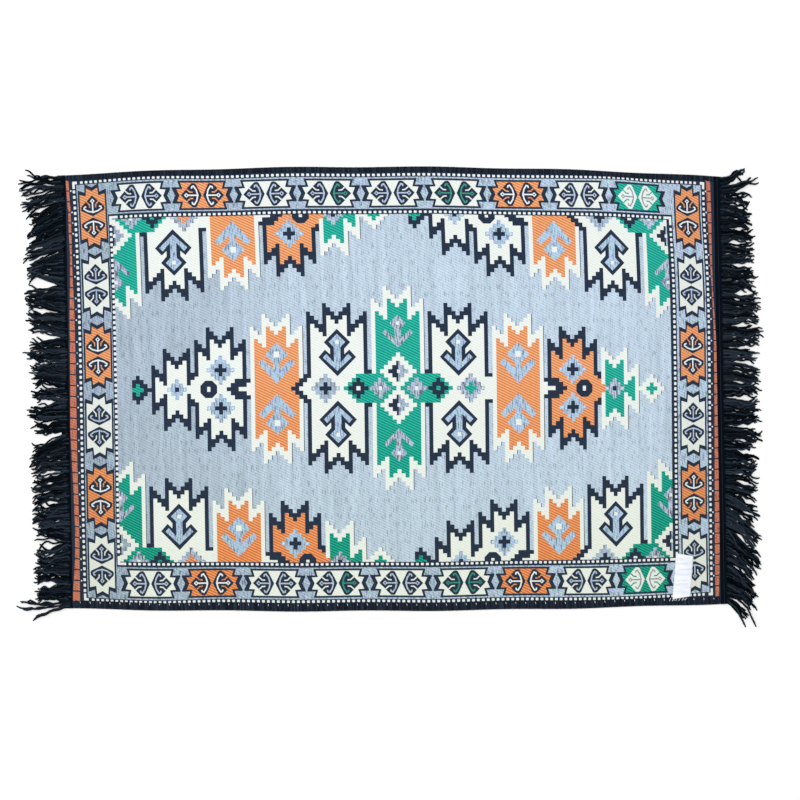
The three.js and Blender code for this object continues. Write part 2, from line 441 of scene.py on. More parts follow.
def put_flower(middle, row, reach, yarn, heart, heart_yarn):
    """A stepped flower. Its two side tips are open squares."""
    cell(yarn, stack(middle, row, reach))
    for side in (-1, 1):
        cell("nub", spot(middle + side * (reach[0] - NUB_IN), row, NUB_WIDE, NUB_HIGH))
    if len(heart) > 1:
        cell(heart_yarn, stack(middle, row, heart))
    else:
        cell(heart_yarn, spot(middle, row, heart[0], heart[0]))


def put_arrows(middle, half, yarn, heart_at, heart, rim=None):
    """The same arrow above and below the axis, with a small ivory square in its diamond."""
    for flip in (1, -1):
        if rim:
            cell("navy", moved(two_sided(rim), middle, flip))
        cell(yarn, moved(two_sided(half), middle, flip))
        cell("ivory", spot(middle, flip * heart_at, heart, heart))


put_flower(-18, 0, FLOWER, "grey blue", CROSS, "navy")
put_flower(18, 0, FLOWER, "lilac", CROSS, "heart")
for row in (-4.6, 4.6):
    put_flower(-44, row, FLOWER, "motif blue", CROSS, "navy")
    put_flower(44, row, FLOWER, "motif blue", CROSS, "navy")
put_flower(-55, 0, SMALL_FLOWER, "motif blue", [0.55], "navy")
put_flower(55, 0, SMALL_FLOWER, "lilac", [0.55], "navy")
for middle in (-15, 15):
    put_arrows(middle, ARROW_IN_IVORY, "motif blue", heart_at=11.1, heart=0.45, rim=ARROW_RIM)
for middle in (-30, 30):
    put_arrows(middle, ARROW_IN_ORANGE, "motif blue", heart_at=8.25, heart=0.7)
put_arrows(0, ARROW_IN_GREEN, "lilac", heart_at=15.6, heart=0.4)
print("with flowers and arrows:", len(medallion), "shapes")

# %% [markdown]
# The middle of the medallion is a green band that crosses the tall tower, with two ivory lozenges
# that meet on the axis. Beside the lozenges sit a navy and a lilac flower on each side.

# %% Middle of the medallion
BAND = [13.5, 12.5, 11.5, 10.5]
LOZENGE_ROW = 4.05
NAVY_FLOWER_AT = 9.9
LILAC_FLOWER_AT = 4.5
EYE_AT = 47
EYE_RADIUS = 2.1
EYE_SLOT = (0.4, 0.6)
EIGHTH = math.radians(45)


def octagon(middle, row, radius):
    """Eight sides, flat on top."""
    turns = [(n + 0.5) * EIGHTH for n in range(8)]
    reach = radius / math.cos(EIGHTH / 2)
    return [(middle + reach * math.cos(t), row + reach * math.sin(t)) for t in turns]


def put_middle():
    """The crossing band and what lies on it."""
    cell("green", stack(0, 0, BAND))
    for row in (-LOZENGE_ROW, LOZENGE_ROW):
        heart = stack(0, row, SMALL_FLOWER)
        cell("ivory", stack(0, row, [4.5, *FLOWER]))
        cell("navy", heart)
        cell("grey blue", [(max(i, 0), k) for i, k in heart])
        cell("ivory", block(-0.3, 0.4, row - 0.4, row + 0.4))
    for side, heart in ((-1, "ivory"), (1, "green")):
        cell("navy", stack(side * NAVY_FLOWER_AT, 0, SMALL_FLOWER))
        cell(heart, spot(side * NAVY_FLOWER_AT, 0, 0.5, 0.5))
        cell("lilac", stack(side * LILAC_FLOWER_AT, 0, SMALL_FLOWER))
        cell("ivory", spot(side * LILAC_FLOWER_AT, 0, 0.4, 0.45))


def put_eye(side):
    """A navy octagon with an upright ivory slot."""
    cell("navy", octagon(side * EYE_AT, 0, EYE_RADIUS))
    cell("ivory", spot(side * EYE_AT, 0, *EYE_SLOT))


put_middle()
put_eye(-1)
put_eye(1)
print("one medallion:", len(medallion), "shapes")

# %% [markdown]
# The same medallion is woven five times: whole in the middle of the field, and a quarter of it in
# each corner. A shape that crosses the field's edge is cut there, edge by edge. One flower has a
# green heart, but the weaver gave it an orange one in the two left corners.

# %% Five medallions in the field
CORNER_U = 70
CORNER_V = 42


def cut(outline, axis, limit, keep):
    """The part of an outline with keep * coordinate below keep * limit."""
    kept = []
    for here, after in zip(outline, outline[1:] + outline[:1]):
        inside = keep * here[axis] <= keep * limit
        if inside:
            kept.append(here)
        if inside != (keep * after[axis] <= keep * limit):
            share = (limit - here[axis]) / (after[axis] - here[axis])
            kept.append(tuple(a + share * (b - a) for a, b in zip(here, after)))
    return kept


def in_field(outline):
    """An outline cut to the field."""
    for axis, limit in ((0, LEFT["field"]), (1, SIDE["field"])):
        outline = cut(outline, axis, limit, 1)
        outline = cut(outline, axis, -limit, -1)
    return outline


for column, row in [(0, 0)] + [(a * CORNER_U, b * CORNER_V) for a in (-1, 1) for b in (-1, 1)]:
    heart = "orange" if column < 0 else "green"
    for yarn, outline in medallion:
        yarn = heart if yarn == "heart" else yarn
        here = in_field([((column + i) * CELL_U, (row + k) * CELL_V) for i, k in outline])
        if len(here) > 2:
            weave(yarn, here)
print("field:", len(woven), "shapes")

# %% [markdown]
# The border has two rows of white dots, one on each side of the band of stars. The dots are square
# and a little longer along their row, and each corner of a row is an L of white.

# %% Rows of dots
SIDE_DOT = {"along": 5.1, "across": 4.3}
END_DOT = {"along": 5.6, "across": 4.8}
DOT_PITCH = {"side": 9.12, "inner dots": 9.63, "outer dots": 10.22}
DOT_CORNER = 0.16
END_GAP_MORE = 1.0
CORNERS = {
    "outer dots": {"side": 9.0, "end": 13.0, "thick": 4.6, "gaps": (15.5, 17.5)},
    "inner dots": {"side": 16.0, "end": 16.0, "thick": 4.6, "gaps": (21.0, 21.0)},
}


def dot(u, v, long_u, long_v):
    """A small square with its corners cut."""
    a, b = long_u / 2, long_v / 2
    c = DOT_CORNER * min(a, b) * 2
    right = [(a - c, -b), (a, c - b), (a, b - c), (a - c, b)]
    return [(u + x, v + y) for x, y in right + [(-x, -y) for x, y in right]]


def spread(start, stop, pitch):
    """Evenly spaced places between start and stop, about one pitch apart."""
    count = round((stop - start) / pitch)
    return [start + (stop - start) * (n + 0.5) / count for n in range(count)]


def corner_l(u, v, toward_u, toward_v, sizes):
    """An L of white whose outer corner is at (u, v)."""
    t, a, b = sizes["thick"], sizes["side"], sizes["end"]
    shape = [(0, 0), (a, 0), (a, t), (t, t), (t, b), (0, b)]
    return [(u + toward_u * x, v + toward_v * y) for x, y in shape]


def ring(row):
    """One closed row of dots round the rug, with an L in each corner."""
    left, right, side = -LEFT[row], RIGHT[row], SIDE[row]
    sizes = CORNERS[row]
    gap_left, gap_right = sizes["gaps"]
    half = DOT_PITCH["side"] / 2
    for v in (-side, side):
        for u in spread(left + gap_left - half, right - gap_right + half, DOT_PITCH["side"]):
            weave("white", dot(u, v, SIDE_DOT["along"], SIDE_DOT["across"]))
    half = DOT_PITCH[row] / 2
    for u, gap in ((left, gap_left + END_GAP_MORE), (right, gap_right + END_GAP_MORE)):
        for v in spread(gap - half - side, side - gap + half, DOT_PITCH[row]):
            weave("white", dot(u, v, END_DOT["across"], END_DOT["along"]))
        for v in (-side, side):
            in_u, in_v = -math.copysign(1, u), -math.copysign(1, v)
            back = sizes["thick"] / 2
            weave("white", corner_l(u - in_u * back, v - in_v * back, in_u, in_v, sizes))


ring("outer dots")
ring("inner dots")
print("with dots:", len(woven), "shapes")

# %% [markdown]
# A star is a wide shape with stepped, notched ends, and it has a navy outline that meets the next
# star's outline but for a thin neck of blue. It holds two hooks that point at each other, drawn
# as lines: a curl, the bend of the hook, a stem, and a small ring.

# %% One star
STAR = [(42.6, 0), (47.6, 11.0), (36.4, 11.8), (39.8, 23.4)]
STAR_RIM = [(50.4, 0), (56.2, 12.2), (56.2, 15.0), (41.4, 15.0), (45.0, 27.0)]
END_STAR = [(24.2, 42.4), (12.2, 39.4), (10.7, 54.4), (0, 48.4)]
END_STAR_RIM = [(27.4, 51.2), (14.4, 46.4), (13.4, 62.6), (0, 55.8)]
HOOK_BODY = [(1.2, 0), (11.2, 20.8), (14.0, 22.7), (19.2, 22.1), (27.6, 13.8), (29.8, 10.8), (40.2, 0)]
HOOK_SLIT = [(28.9, 11.6), (23.2, 6.2), (17.4, 5.7)]
HOOK_LINE = [(19.6, 12.4), (18.6, 15.8), (15.6, 17.0), (11.0, 10.0), (8.4, 0)]
HOOK_RING_AT = 29.6
HOOK_RING = 4.5
HOOK_HOLE = 1.9
LINE = 2.6
SLIT = 2.3


def four_sided(quarter):
    """A shape that is the same left and right, and up and down, from its upper right quarter."""
    upper = quarter + [(-x, y) for x, y in reversed(quarter) if x]
    return upper + [(x, -y) for x, y in reversed(upper) if y]


def stroke(points, width):
    """The outline of a line of that width through the points, with its ends cut square."""
    line = np.array(points, float)
    steps = np.diff(line, axis=0)
    steps /= np.linalg.norm(steps, axis=1)[:, None]
    normals = np.stack([-steps[:, 1], steps[:, 0]], axis=1)
    joints = np.vstack([normals[:1], normals[:-1] + normals[1:], normals[-1:]])
    joints /= np.linalg.norm(joints, axis=1)[:, None]
    lean = np.concatenate([[1.0], np.einsum("ij,ij->i", joints[1:-1], normals[1:]), [1.0]])
    side = joints * (width / 2 / np.maximum(lean, 0.4))[:, None]
    return [tuple(p) for p in np.vstack([line + side, (line - side)[::-1]])]


def diamond(x, y, half):
    """A small square on its corner."""
    return [(x + half, y), (x, y + half), (x - half, y), (x, y - half)]


def hook(place, body, line, ground):
    """One hook. place turns its own (outwards, across) into (u, v)."""
    weave(body, place(HOOK_BODY + [(s, -t) for s, t in reversed(HOOK_BODY[1:-1])]))
    for flip in (1, -1):
        weave(ground, place([(s, flip * t) for s, t in stroke(HOOK_SLIT, SLIT)]))
    bend = HOOK_LINE + [(s, -t) for s, t in reversed(HOOK_LINE[:-1])]
    weave(line, place(stroke(bend, LINE)))
    weave(line, place(stroke([(HOOK_LINE[-1][0], 0), (HOOK_RING_AT, 0)], LINE)))
    weave(line, place(diamond(HOOK_RING_AT, 0, HOOK_RING)))
    weave(body, place(diamond(HOOK_RING_AT, 0, HOOK_HOLE)))


def put_star(u, v, ground, lines, upright):
    """A star at (u, v). lines gives the yarn of each of its two hooks."""
    rim, fill = (END_STAR_RIM, END_STAR) if upright else (STAR_RIM, STAR)
    weave("navy", [(u + a, v + b) for a, b in four_sided(rim)])
    weave(ground, [(u + a, v + b) for a, b in four_sided(fill)])
    for way, line in zip((-1, 1), lines):
        def place(outline, way=way):
            if upright:
                return [(u + t, v - way * s) for s, t in outline]
            return [(u + way * s, v + t) for s, t in outline]
        body = "ivory" if ground == "green" else "navy"
        hook(place, body, line, ground)


print("one star:", len(four_sided(STAR)), "corners")

# %% [markdown]
# The stars change colour along the border. Along the sides there are nine, at each end six, and
# the ends' stars stand upright. Each row of the table below names the ground of a star and the
# yarns of its left and right hook. A tiny tick marks the band's two lines between two stars.

# %% Stars round the border
STAR_PITCH = 115.4
END_STAR_AT = [324.2, 195.7, 65.2, -65.2, -195.7, -324.2]
TICK = (2.8, 1.8)
TICK_IN = 4.2
SIDE_STARS = [
    ("ivory", "hook blue", "hook blue"),
    ("orange", "white", "white"),
    ("ivory", "hook blue", "hook blue"),
    ("ivory", "hook blue", "hook green"),
    ("ivory", "hook blue", "hook blue"),
    ("ivory", "hook green", "hook green"),
    ("orange", "white", "white"),
    ("ivory", "hook blue", "hook blue"),
    ("green", "hook grey", "hook grey"),
]

middle_star = (len(SIDE_STARS) - 1) / 2
for v in (-SIDE["stars"], SIDE["stars"]):
    for number, (ground, *hooks) in enumerate(SIDE_STARS):
        put_star((number - middle_star) * STAR_PITCH, v, ground, hooks, upright=False)
    for number in range(len(SIDE_STARS) - 1):
        for at in (SIDE["band in"] + TICK_IN, SIDE["band out"] - TICK_IN):
            u = (number + 0.5 - middle_star) * STAR_PITCH
            weave("nub", dot(u, math.copysign(at, v), *TICK))
for u in (-LEFT["stars"], RIGHT["stars"]):
    for v, (ground, line) in zip(END_STAR_AT, [("orange", "white"), ("ivory", "hook blue")] * 3):
        put_star(u, v, ground, (line, line), upright=True)
print("with stars:", len(woven), "shapes")

# %% [markdown]
# Past the outer dots each end closes with a narrow orange strip, cut by thin navy lines. Its two
# long sides wander, so each is given by its distance from the middle at some places down the end.
# Beside the lines sit tiny stitches: white, blue, white, none, and so on.

# %% The orange strips at the ends
STRIP_NEAR = {
    -1: {-390: 598.5, -259: 596.6, -109: 598.0, 3: 597.8, 134: 597.6, 228: 599.0, 331: 597.0, 390: 597.6},
    1: {-388: 605.4, -246: 606.0, -3: 606.9, 114: 607.1, 190: 605.6, 237: 604.8, 322: 605.3, 390: 603.8},
}
STRIP_FAR = {
    -1: {
        -390: 610.7, -352: 608.2, -315: 605.6, -259: 604.5, -193: 605.8, -109: 608.6, -71: 609.9,
        3: 608.6, 134: 607.5, 190: 605.2, 265: 601.9, 293: 603.1, 331: 601.4, 378: 604.8, 400: 610.0,
    },
    1: {
        -388: 609.1, -322: 610.3, -246: 610.7, 76: 610.7, 114: 609.7,
        190: 607.1, 237: 607.3, 322: 608.5, 390: 608.1,
    },
}
STRIP_PITCH = 20.3
STRIP_HALF = 395.8
STRIP_LINE = 2.4
STRIP_SLANT = 0.8
TINY = 2.7
TINY_AT = {-1: 594.3, 1: 602.5}
TINY_YARNS = (None, "white", "hook blue", "white")


def reach_at(places, wide):
    """How far out a side of a strip lies at places down the end."""
    return np.interp(places, list(wide), list(wide.values()))


def end_strip(sign):
    """One strip: its blocks between the cuts, and its tiny stitches."""
    for number, v in enumerate(spread(-STRIP_HALF, STRIP_HALF, STRIP_PITCH)):
        half = (STRIP_PITCH - STRIP_LINE) / 2
        ends = np.array([v - half, v + half])
        inner = list(zip(reach_at(ends, STRIP_NEAR[sign]), ends))
        outer = list(zip(reach_at(ends, STRIP_FAR[sign]), ends + STRIP_SLANT))
        weave("strip orange", [(sign * float(a), float(b)) for a, b in inner + outer[::-1]])
        yarn = TINY_YARNS[number % 4]
        if yarn:
            weave(yarn, dot(sign * TINY_AT[sign], v + STRIP_PITCH / 2, TINY, TINY))


end_strip(-1)
end_strip(1)
print("the whole pattern:", len(woven), "shapes")

# %% [markdown]
# The cloth becomes one mesh. All the outlines are laid into one flat triangulation, which splits
# edges where they cross and says which shapes each triangle lies in; the last of them gives its
# yarn. A net of points 14 mm apart keeps the triangles small enough to follow the laid shape.

# %% Triangles of the flat cloth
NET = 14.0
MIN_EDGE = 0.02


def net_points():
    """An even net of points over the cloth, staggered from row to row."""
    rows = round(2 * CLOTH_HALF / NET)
    places = round(2 * CLOTH_END / NET)
    points = []
    for row in range(rows + 1):
        v = -CLOTH_HALF + 2 * CLOTH_HALF * row / rows
        for place in range(places + 1):
            u = -CLOTH_END + 2 * CLOTH_END * (place + 0.5 * (row % 2)) / places
            points.append((min(u, CLOTH_END), v))
    return points


def turned_left(outline):
    """An outline without doubled points, with its long sides parted, turned anticlockwise."""
    kept = []
    for here, after in zip(outline, outline[1:] + outline[:1]):
        length = math.dist(here, after)
        parts = math.ceil(length / NET) if length > MIN_EDGE else 0
        kept += [tuple(a + (b - a) * n / parts for a, b in zip(here, after)) for n in range(parts)]
    return kept if area_of(kept) > 0 else kept[::-1]


def triangulate():
    """The flat cloth's points, its triangles and the yarn of each triangle."""
    points, loops = [], []
    for _, outline in woven:
        corners = turned_left(outline)
        loops.append(list(range(len(points), len(points) + len(corners))))
        points.extend(corners)
    points.extend(net_points())
    found = delaunay_2d_cdt(points, [], loops, 0, MIN_EDGE, True)
    spots = np.array([tuple(p) for p in found[0]])
    inside = [(face, max(shapes)) for face, shapes in zip(found[2], found[5]) if shapes]
    faces = np.array([face for face, _ in inside])
    yarns = [woven[top][0] for _, top in inside]
    return spots, faces, yarns


cloth_spots, cloth_faces, cloth_yarns = triangulate()
print("flat cloth:", len(cloth_spots), "points,", len(cloth_faces), "triangles")

# %% [markdown]
# No weaver beats the weft with quite the same force all day, so a woven pattern drifts by a few
# millimetres from the drawing, most of all near the corners. A smooth rule moves the triangles'
# corners in the same way. The rim is left alone, because the edgings and headings meet it there.

# %% The weaver's drift
EASE_SIZE = (620.0, 405.0)
RIM_LEFT = 8.5
RIM_RIGHT = 5.0
RIM_SIDE = 14.0
EASE_U = {
    (0, 0): 1.7, (1, 0): 1.0, (0, 1): 1.6, (2, 0): -2.7,
    (1, 1): 2.2, (0, 2): -3.5, (3, 0): -2.8, (0, 3): -4.5,
}
EASE_V = {(0, 0): -0.3, (1, 0): 0.6, (0, 1): 3.5, (2, 0): 0.4, (0, 2): 0.6, (2, 1): -2.0, (0, 3): -5.0}
PULLS = [
    ((600, 330), (150, 90), (-3.8, 0.0)),
    ((-490, -405), (130, 80), (0.0, -4.2)),
    ((440, -405), (100, 80), (0.0, -3.8)),
    ((-450, 405), (130, 80), (0.0, 3.0)),
    ((420, 405), (75, 80), (0.0, 4.2)),
]


def eased(spots):
    """Where the points of the drawing end up on the cloth.

    Each key of the two tables holds the powers of u and v, and each pull its middle, reach and size.
    """
    u, v = spots.T
    a, b = u / EASE_SIZE[0], v / EASE_SIZE[1]
    free_u = np.clip((CLOTH_END - abs(u)) / np.where(u < 0, RIM_LEFT, RIM_RIGHT), 0, 1)
    free_v = np.clip((CLOTH_HALF - abs(v)) / RIM_SIDE, 0, 1)
    more_u = sum(size * a**i * b**k for (i, k), size in EASE_U.items())
    more_v = sum(size * a**i * b**k for (i, k), size in EASE_V.items())
    for middle, reach, size in PULLS:
        near = np.exp(-(((u - middle[0]) / reach[0]) ** 2) - ((v - middle[1]) / reach[1]) ** 2)
        more_u = more_u + size[0] * near
        more_v = more_v + size[1] * near
    return np.stack([u + free_u * more_u, v + free_v * more_v], axis=1)


drawn_spots = cloth_spots
cloth_spots = eased(drawn_spots)
print("the pattern drifts by at most", round(float(abs(cloth_spots - drawn_spots).max()), 1), "mm")

# %% [markdown]
# Both faces of a kilim show the same pattern, so the same triangles make the top and, turned over,
# the underside, and a narrow wall closes the rim. Towards the long sides the cloth thins to a
# tongue that the overcast edging wraps. A slow swell of a few tenths of a millimetre keeps it
# from looking like a board. The square cloth's own millimetres are kept as a UV map, so that the
# weave follows the cloth where it is pulled out of true.

# %% The cloth's mesh
TONGUE_LOW = 1.3 * MM
TONGUE_HIGH = 1.9 * MM
CLOTH_LOW = 0.1 * MM
TAPER = 2.0
SWELL = 0.18 * MM
SWELL_ALONG = 83.0
SWELL_ACROSS = 61.0
SWELL_BEND = (1.3, 97.0)
SWELL_TURN = 0.8


def cloth_heights(u, v):
    """Heights of the underside and the top of the cloth at points of the square cloth."""
    covered = np.where(v > 0, EDGE_BACK, EDGE_FRONT)
    share = np.clip((np.abs(v) + covered + 1 - HALF_WIDTH) / TAPER + 1, 0, 1)
    bend = SWELL_BEND[0] * np.sin(v / SWELL_BEND[1])
    swell = SWELL * (np.sin(u / SWELL_ALONG + bend) * np.sin(v / SWELL_ACROSS + SWELL_TURN) - 1)
    top = (CLOTH_TOP + swell) * (1 - share) + TONGUE_HIGH * share
    low = CLOTH_LOW * (1 - share) + TONGUE_LOW * share
    return low, top


def rim_edges(faces):
    """The edges that only one triangle has, in the order in which it runs along them."""
    pairs = np.concatenate([faces[:, [0, 1]], faces[:, [1, 2]], faces[:, [2, 0]]])
    seen = {}
    for a, b in pairs.tolist():
        seen[a, b] = seen.get((a, b), 0) + 1
    return [(a, b) for a, b in seen if (b, a) not in seen]


def put_on_scene(name, mesh):
    """An object at the origin that rides on the rug, attached to its root."""
    piece = bpy.data.objects.new(name, mesh)
    bpy.context.scene.collection.objects.link(piece)
    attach(piece, "root")
    return piece


def add_map(mesh, label, flat):
    """A UV map from the flat place of each point. Both faces of a sheet take the same places."""
    layer = mesh.uv_layers.new(name=label)
    corner = np.empty(len(mesh.loops), np.int32)
    mesh.loops.foreach_get("vertex_index", corner)
    layer.data.foreach_set("uv", flat[corner % len(flat)].astype(np.float32).ravel())


def make_cloth():
    """The woven sheet, each face numbered by its yarn, and the list of the yarns' names."""
    u, v = cloth_spots.T
    low, top = cloth_heights(u, v)
    count = len(u)
    places = np.concatenate([laid(u, v, top), laid(u, v, low)])
    names = list(dict.fromkeys(cloth_yarns))
    yarn = [names.index(name) for name in cloth_yarns]
    walls = rim_edges(cloth_faces)
    faces = cloth_faces.tolist()
    faces += (cloth_faces[:, ::-1] + count).tolist()
    faces += [(b, a, a + count, b + count) for a, b in walls]
    mesh = bpy.data.meshes.new("kilim_cloth")
    mesh.from_pydata(places.tolist(), [], faces)
    mesh.polygons.foreach_set("material_index", yarn + yarn + [names.index("navy")] * len(walls))
    add_map(mesh, "square_cloth", cloth_spots * MM)
    mesh.update()
    return put_on_scene("kilim_cloth", mesh), names


cloth, cloth_slots = make_cloth()
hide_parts("woven_cloth")
print("cloth:", len(cloth.data.polygons), "faces,", len(cloth_slots), "yarns:", ", ".join(cloth_slots))

# %% [markdown]
# Every yarn is dyed wool or cotton, so all the materials share the same few effects: slanted ribs
# where the twill runs over the cloth, short dark flecks where the warp shows between the wefts, a
# slow change of shade from one dye lot to the next, the mottle of blended wool, painted shade that
# darkens the ends and the front where the light falls off, and the fine over and under of the weave.
# Each effect is a node group with named inputs, built once and placed in every material with its
# own values. The helpers each add one kind of node and hand back what it gives out.

# %% Helpers for node trees
FLOAT = "NodeSocketFloat"
VECTOR = "NodeSocketVector"
COLOR = "NodeSocketColor"


def add(tree, kind, feeds=None, **settings):
    """A new node. feeds gives each input, by name or number, a value or an output to link."""
    node = tree.nodes.new(kind)
    for name, value in settings.items():
        setattr(node, name, value)
    for place, value in (feeds or {}).items():
        socket = node.inputs[place]
        if isinstance(value, bpy.types.NodeSocket):
            tree.links.new(value, socket)
        else:
            socket.default_value = value
    return node


def calc(tree, operation, *values):
    """The result of a Math node."""
    return add(tree, "ShaderNodeMath", dict(enumerate(values)), operation=operation).outputs[0]


def vector_calc(tree, operation, first, other):
    """The result of a Vector Math node. For SCALE the other value is a number."""
    place = 3 if operation == "SCALE" else 1
    return add(tree, "ShaderNodeVectorMath", {0: first, place: other}, operation=operation).outputs[0]


def vector(tree, x=0.0, y=0.0, z=0.0):
    """A vector from three numbers or sockets."""
    return add(tree, "ShaderNodeCombineXYZ", {"X": x, "Y": y, "Z": z}).outputs[0]


def parts_of(tree, place):
    """The parts X, Y and Z of a vector, by name."""
    return add(tree, "ShaderNodeSeparateXYZ", {0: place}).outputs


def noise(tree, place, scale, detail=2.0, output="Fac"):
    """A number, or a colour, that changes smoothly from place to place."""
    feeds = {"Vector": place, "Scale": scale, "Detail": detail}
    return add(tree, "ShaderNodeTexNoise", feeds).outputs[output]


def ramp(tree, value, start, stop, low=0.0, high=1.0):
    """Runs from low to high while the value runs from start to stop."""
    limits = {"Value": value, "From Min": start, "From Max": stop, "To Min": low, "To Max": high}
    return add(tree, "ShaderNodeMapRange", limits).outputs[0]


def blend(tree, share, colour, other):
    """A mix of two colours. share is the part of the second."""
    return add(tree, "ShaderNodeMix", {0: share, 6: colour, 7: other}, data_type="RGBA").outputs[2]


def effect(name, place, numbers, outputs):
    """An empty shader group and its inner sockets. It takes a place and numbers, as named."""
    tree = bpy.data.node_groups.new(name, "ShaderNodeTree")
    tree.interface.new_socket(place, in_out="INPUT", socket_type=VECTOR)
    for label, value in numbers.items():
        tree.interface.new_socket(label, in_out="INPUT", socket_type=FLOAT).default_value = value
    for label, kind in outputs.items():
        tree.interface.new_socket(label, in_out="OUTPUT", socket_type=kind)
    given = tree.nodes.new("NodeGroupInput").outputs
    made = tree.nodes.new("NodeGroupOutput").inputs
    return tree, given, made


def placed(tree, group, feeds):
    """The outputs of a group placed in a tree."""
    return add(tree, "ShaderNodeGroup", feeds, node_tree=group).outputs


print("node helpers are ready")

# %% [markdown]
# A twill shows slanted ribs, because each weft steps on by one warp. They could be modelled or come
# from a wave texture. A group of Math nodes is used here, because it takes their pitch and slant as
# they are measured, and a little noise lets them wander as hand weaving does.

# %% Slanted ribs of the twill
RIB_NOISE = 0.12


def build_ribs():
    """Ribs that fall to the right. Pitch and wander are in millimetres, the slant in radians."""
    numbers = {"Pitch": 4.0, "Slant": 0.4, "Wander": 0.6}
    tree, given, made = effect("slanted_ribs", "Place", numbers, {"Rib": FLOAT})
    place = parts_of(tree, given["Place"])
    centred = calc(tree, "SUBTRACT", noise(tree, given["Place"], RIB_NOISE, 1.0), 0.5)
    stray = calc(tree, "MULTIPLY", centred, given["Wander"])
    along = calc(tree, "MULTIPLY", place["X"], calc(tree, "SINE", given["Slant"]))
    across = calc(tree, "MULTIPLY", place["Y"], calc(tree, "COSINE", given["Slant"]))
    far = calc(tree, "ADD", calc(tree, "ADD", along, across), stray)
    turns = calc(tree, "DIVIDE", far, given["Pitch"])
    wave = calc(tree, "SINE", calc(tree, "MULTIPLY", turns, 2 * math.pi))
    tree.links.new(calc(tree, "MULTIPLY_ADD", wave, 0.5, 0.5), made["Rib"])
    return tree


ribs_effect = build_ribs()
print("effect:", ribs_effect.name)

# %% [markdown]
# Where the wefts part a little, the dark warp shows as short flecks. Stretched noise makes them, and
# its threshold falls as the amount grows, so that a coarser yarn shows more of them. Slow noise and
# a ramp along the rug give the shade of each dye lot.

# %% Flecks, shade and the fine weave
FLECK_START = 0.64
FLECK_MORE = 0.2
FLECK_SOFT = 0.12
BAND_LONG = 130.0
GRAIN_SCALE = 0.45
LOT_ENDS = (-380.0, -180.0)
TILT_LONG = 560.0
WEFT_TURN = 0.8


def build_flecks():
    """Short dark flecks, in millimetres, longer across the rug. A greater amount also makes more."""
    numbers = {"Long": 15.0, "Thin": 2.0, "Amount": 0.3}
    tree, given, made = effect("warp_flecks", "Place", numbers, {"Fleck": FLOAT})
    place = parts_of(tree, given["Place"])
    narrow = calc(tree, "DIVIDE", place["X"], given["Thin"])
    tall = calc(tree, "DIVIDE", place["Y"], given["Long"])
    first = calc(tree, "MULTIPLY_ADD", given["Amount"], -FLECK_MORE, FLECK_START)
    last = calc(tree, "ADD", first, FLECK_SOFT)
    dark = ramp(tree, noise(tree, vector(tree, narrow, tall), 1.0, 1.0), first, last)
    tree.links.new(calc(tree, "MULTIPLY", dark, given["Amount"]), made["Fleck"])
    return tree


def build_shade():
    """A shade near 1: bands along the weft, a fine grain, a darker lot at one end, and a slow tilt."""
    numbers = {"Band": 9.0, "Band Amount": 0.04, "Grain Amount": 0.06, "Lot Amount": 0.0, "Tilt": 0.0}
    tree, given, made = effect("dye_shade", "Place", numbers, {"Shade": FLOAT})
    place = parts_of(tree, given["Place"])
    wide = calc(tree, "DIVIDE", place["X"], given["Band"])
    slow = calc(tree, "DIVIDE", place["Y"], BAND_LONG)
    band = calc(tree, "SUBTRACT", noise(tree, vector(tree, wide, slow), 1.0), 0.5)
    grain = calc(tree, "SUBTRACT", noise(tree, given["Place"], GRAIN_SCALE), 0.5)
    tilt = calc(tree, "DIVIDE", place["X"], TILT_LONG)
    lot = ramp(tree, place["X"], *LOT_ENDS, -1.0, 0.0)
    level = 1.0
    for part, amount in ((band, "Band Amount"), (grain, "Grain Amount"), (tilt, "Tilt"), (lot, "Lot Amount")):
        level = calc(tree, "MULTIPLY_ADD", part, given[amount], level)
    tree.links.new(level, made["Shade"])
    return tree


def build_plain_weave():
    """The height of yarns that pass over and under each other, from 0 to 1."""
    tree, given, made = effect("plain_weave", "Place", {"Pitch": 1.5}, {"Height": FLOAT})
    place = parts_of(tree, given["Place"])
    turn = calc(tree, "DIVIDE", 2 * math.pi, given["Pitch"])
    warp = calc(tree, "SINE", calc(tree, "MULTIPLY", place["X"], turn))
    weft = calc(tree, "SINE", calc(tree, "MULTIPLY", place["Y"], calc(tree, "MULTIPLY", turn, WEFT_TURN)))
    crossed = calc(tree, "MULTIPLY", warp, weft)
    tree.links.new(calc(tree, "MULTIPLY_ADD", crossed, 0.5, 0.5), made["Height"])
    return tree


flecks_effect = build_flecks()
shade_effect = build_shade()
weave_effect = build_plain_weave()
print("effects:", flecks_effect.name, shade_effect.name, weave_effect.name)

# %% [markdown]
# Blended wool differs in tint from one bit of the yarn to the next, so coloured noise, drawn out
# along the weft, moves the parts of the colour a little. Towards the ends and the front the yarns
# are painted duller, and towards the front a little yellow: painted shade where the light falls off.

# %% Blended wool and painted shade at the rim
YARN_LONG = (1.0, 0.4, 1.0)
# Where the painted shade of the ends and the front begins and where it is full, in millimetres.
SHADE_ENDS = (440.0, 560.0)
SHADE_FRONT = (40.0, -330.0)
SHADE_WARMTH = 1.5


def build_mottle():
    """A tint that differs a little from yarn to yarn, about 1 in each colour, as blended wool has it."""
    tree, given, made = effect("blended_wool", "Place", {"Grain": 0.5, "Amount": 0.1}, {"Tint": COLOR})
    long = add(tree, "ShaderNodeMapping", {"Vector": given["Place"], "Scale": YARN_LONG}).outputs[0]
    grain = noise(tree, long, given["Grain"], output="Color")
    centred = vector_calc(tree, "SUBTRACT", grain, (0.5, 0.5, 0.5))
    sized = vector_calc(tree, "SCALE", centred, calc(tree, "MULTIPLY", given["Amount"], 2.0))
    tree.links.new(vector_calc(tree, "ADD", sized, (1.0, 1.0, 1.0)), made["Tint"])
    return tree


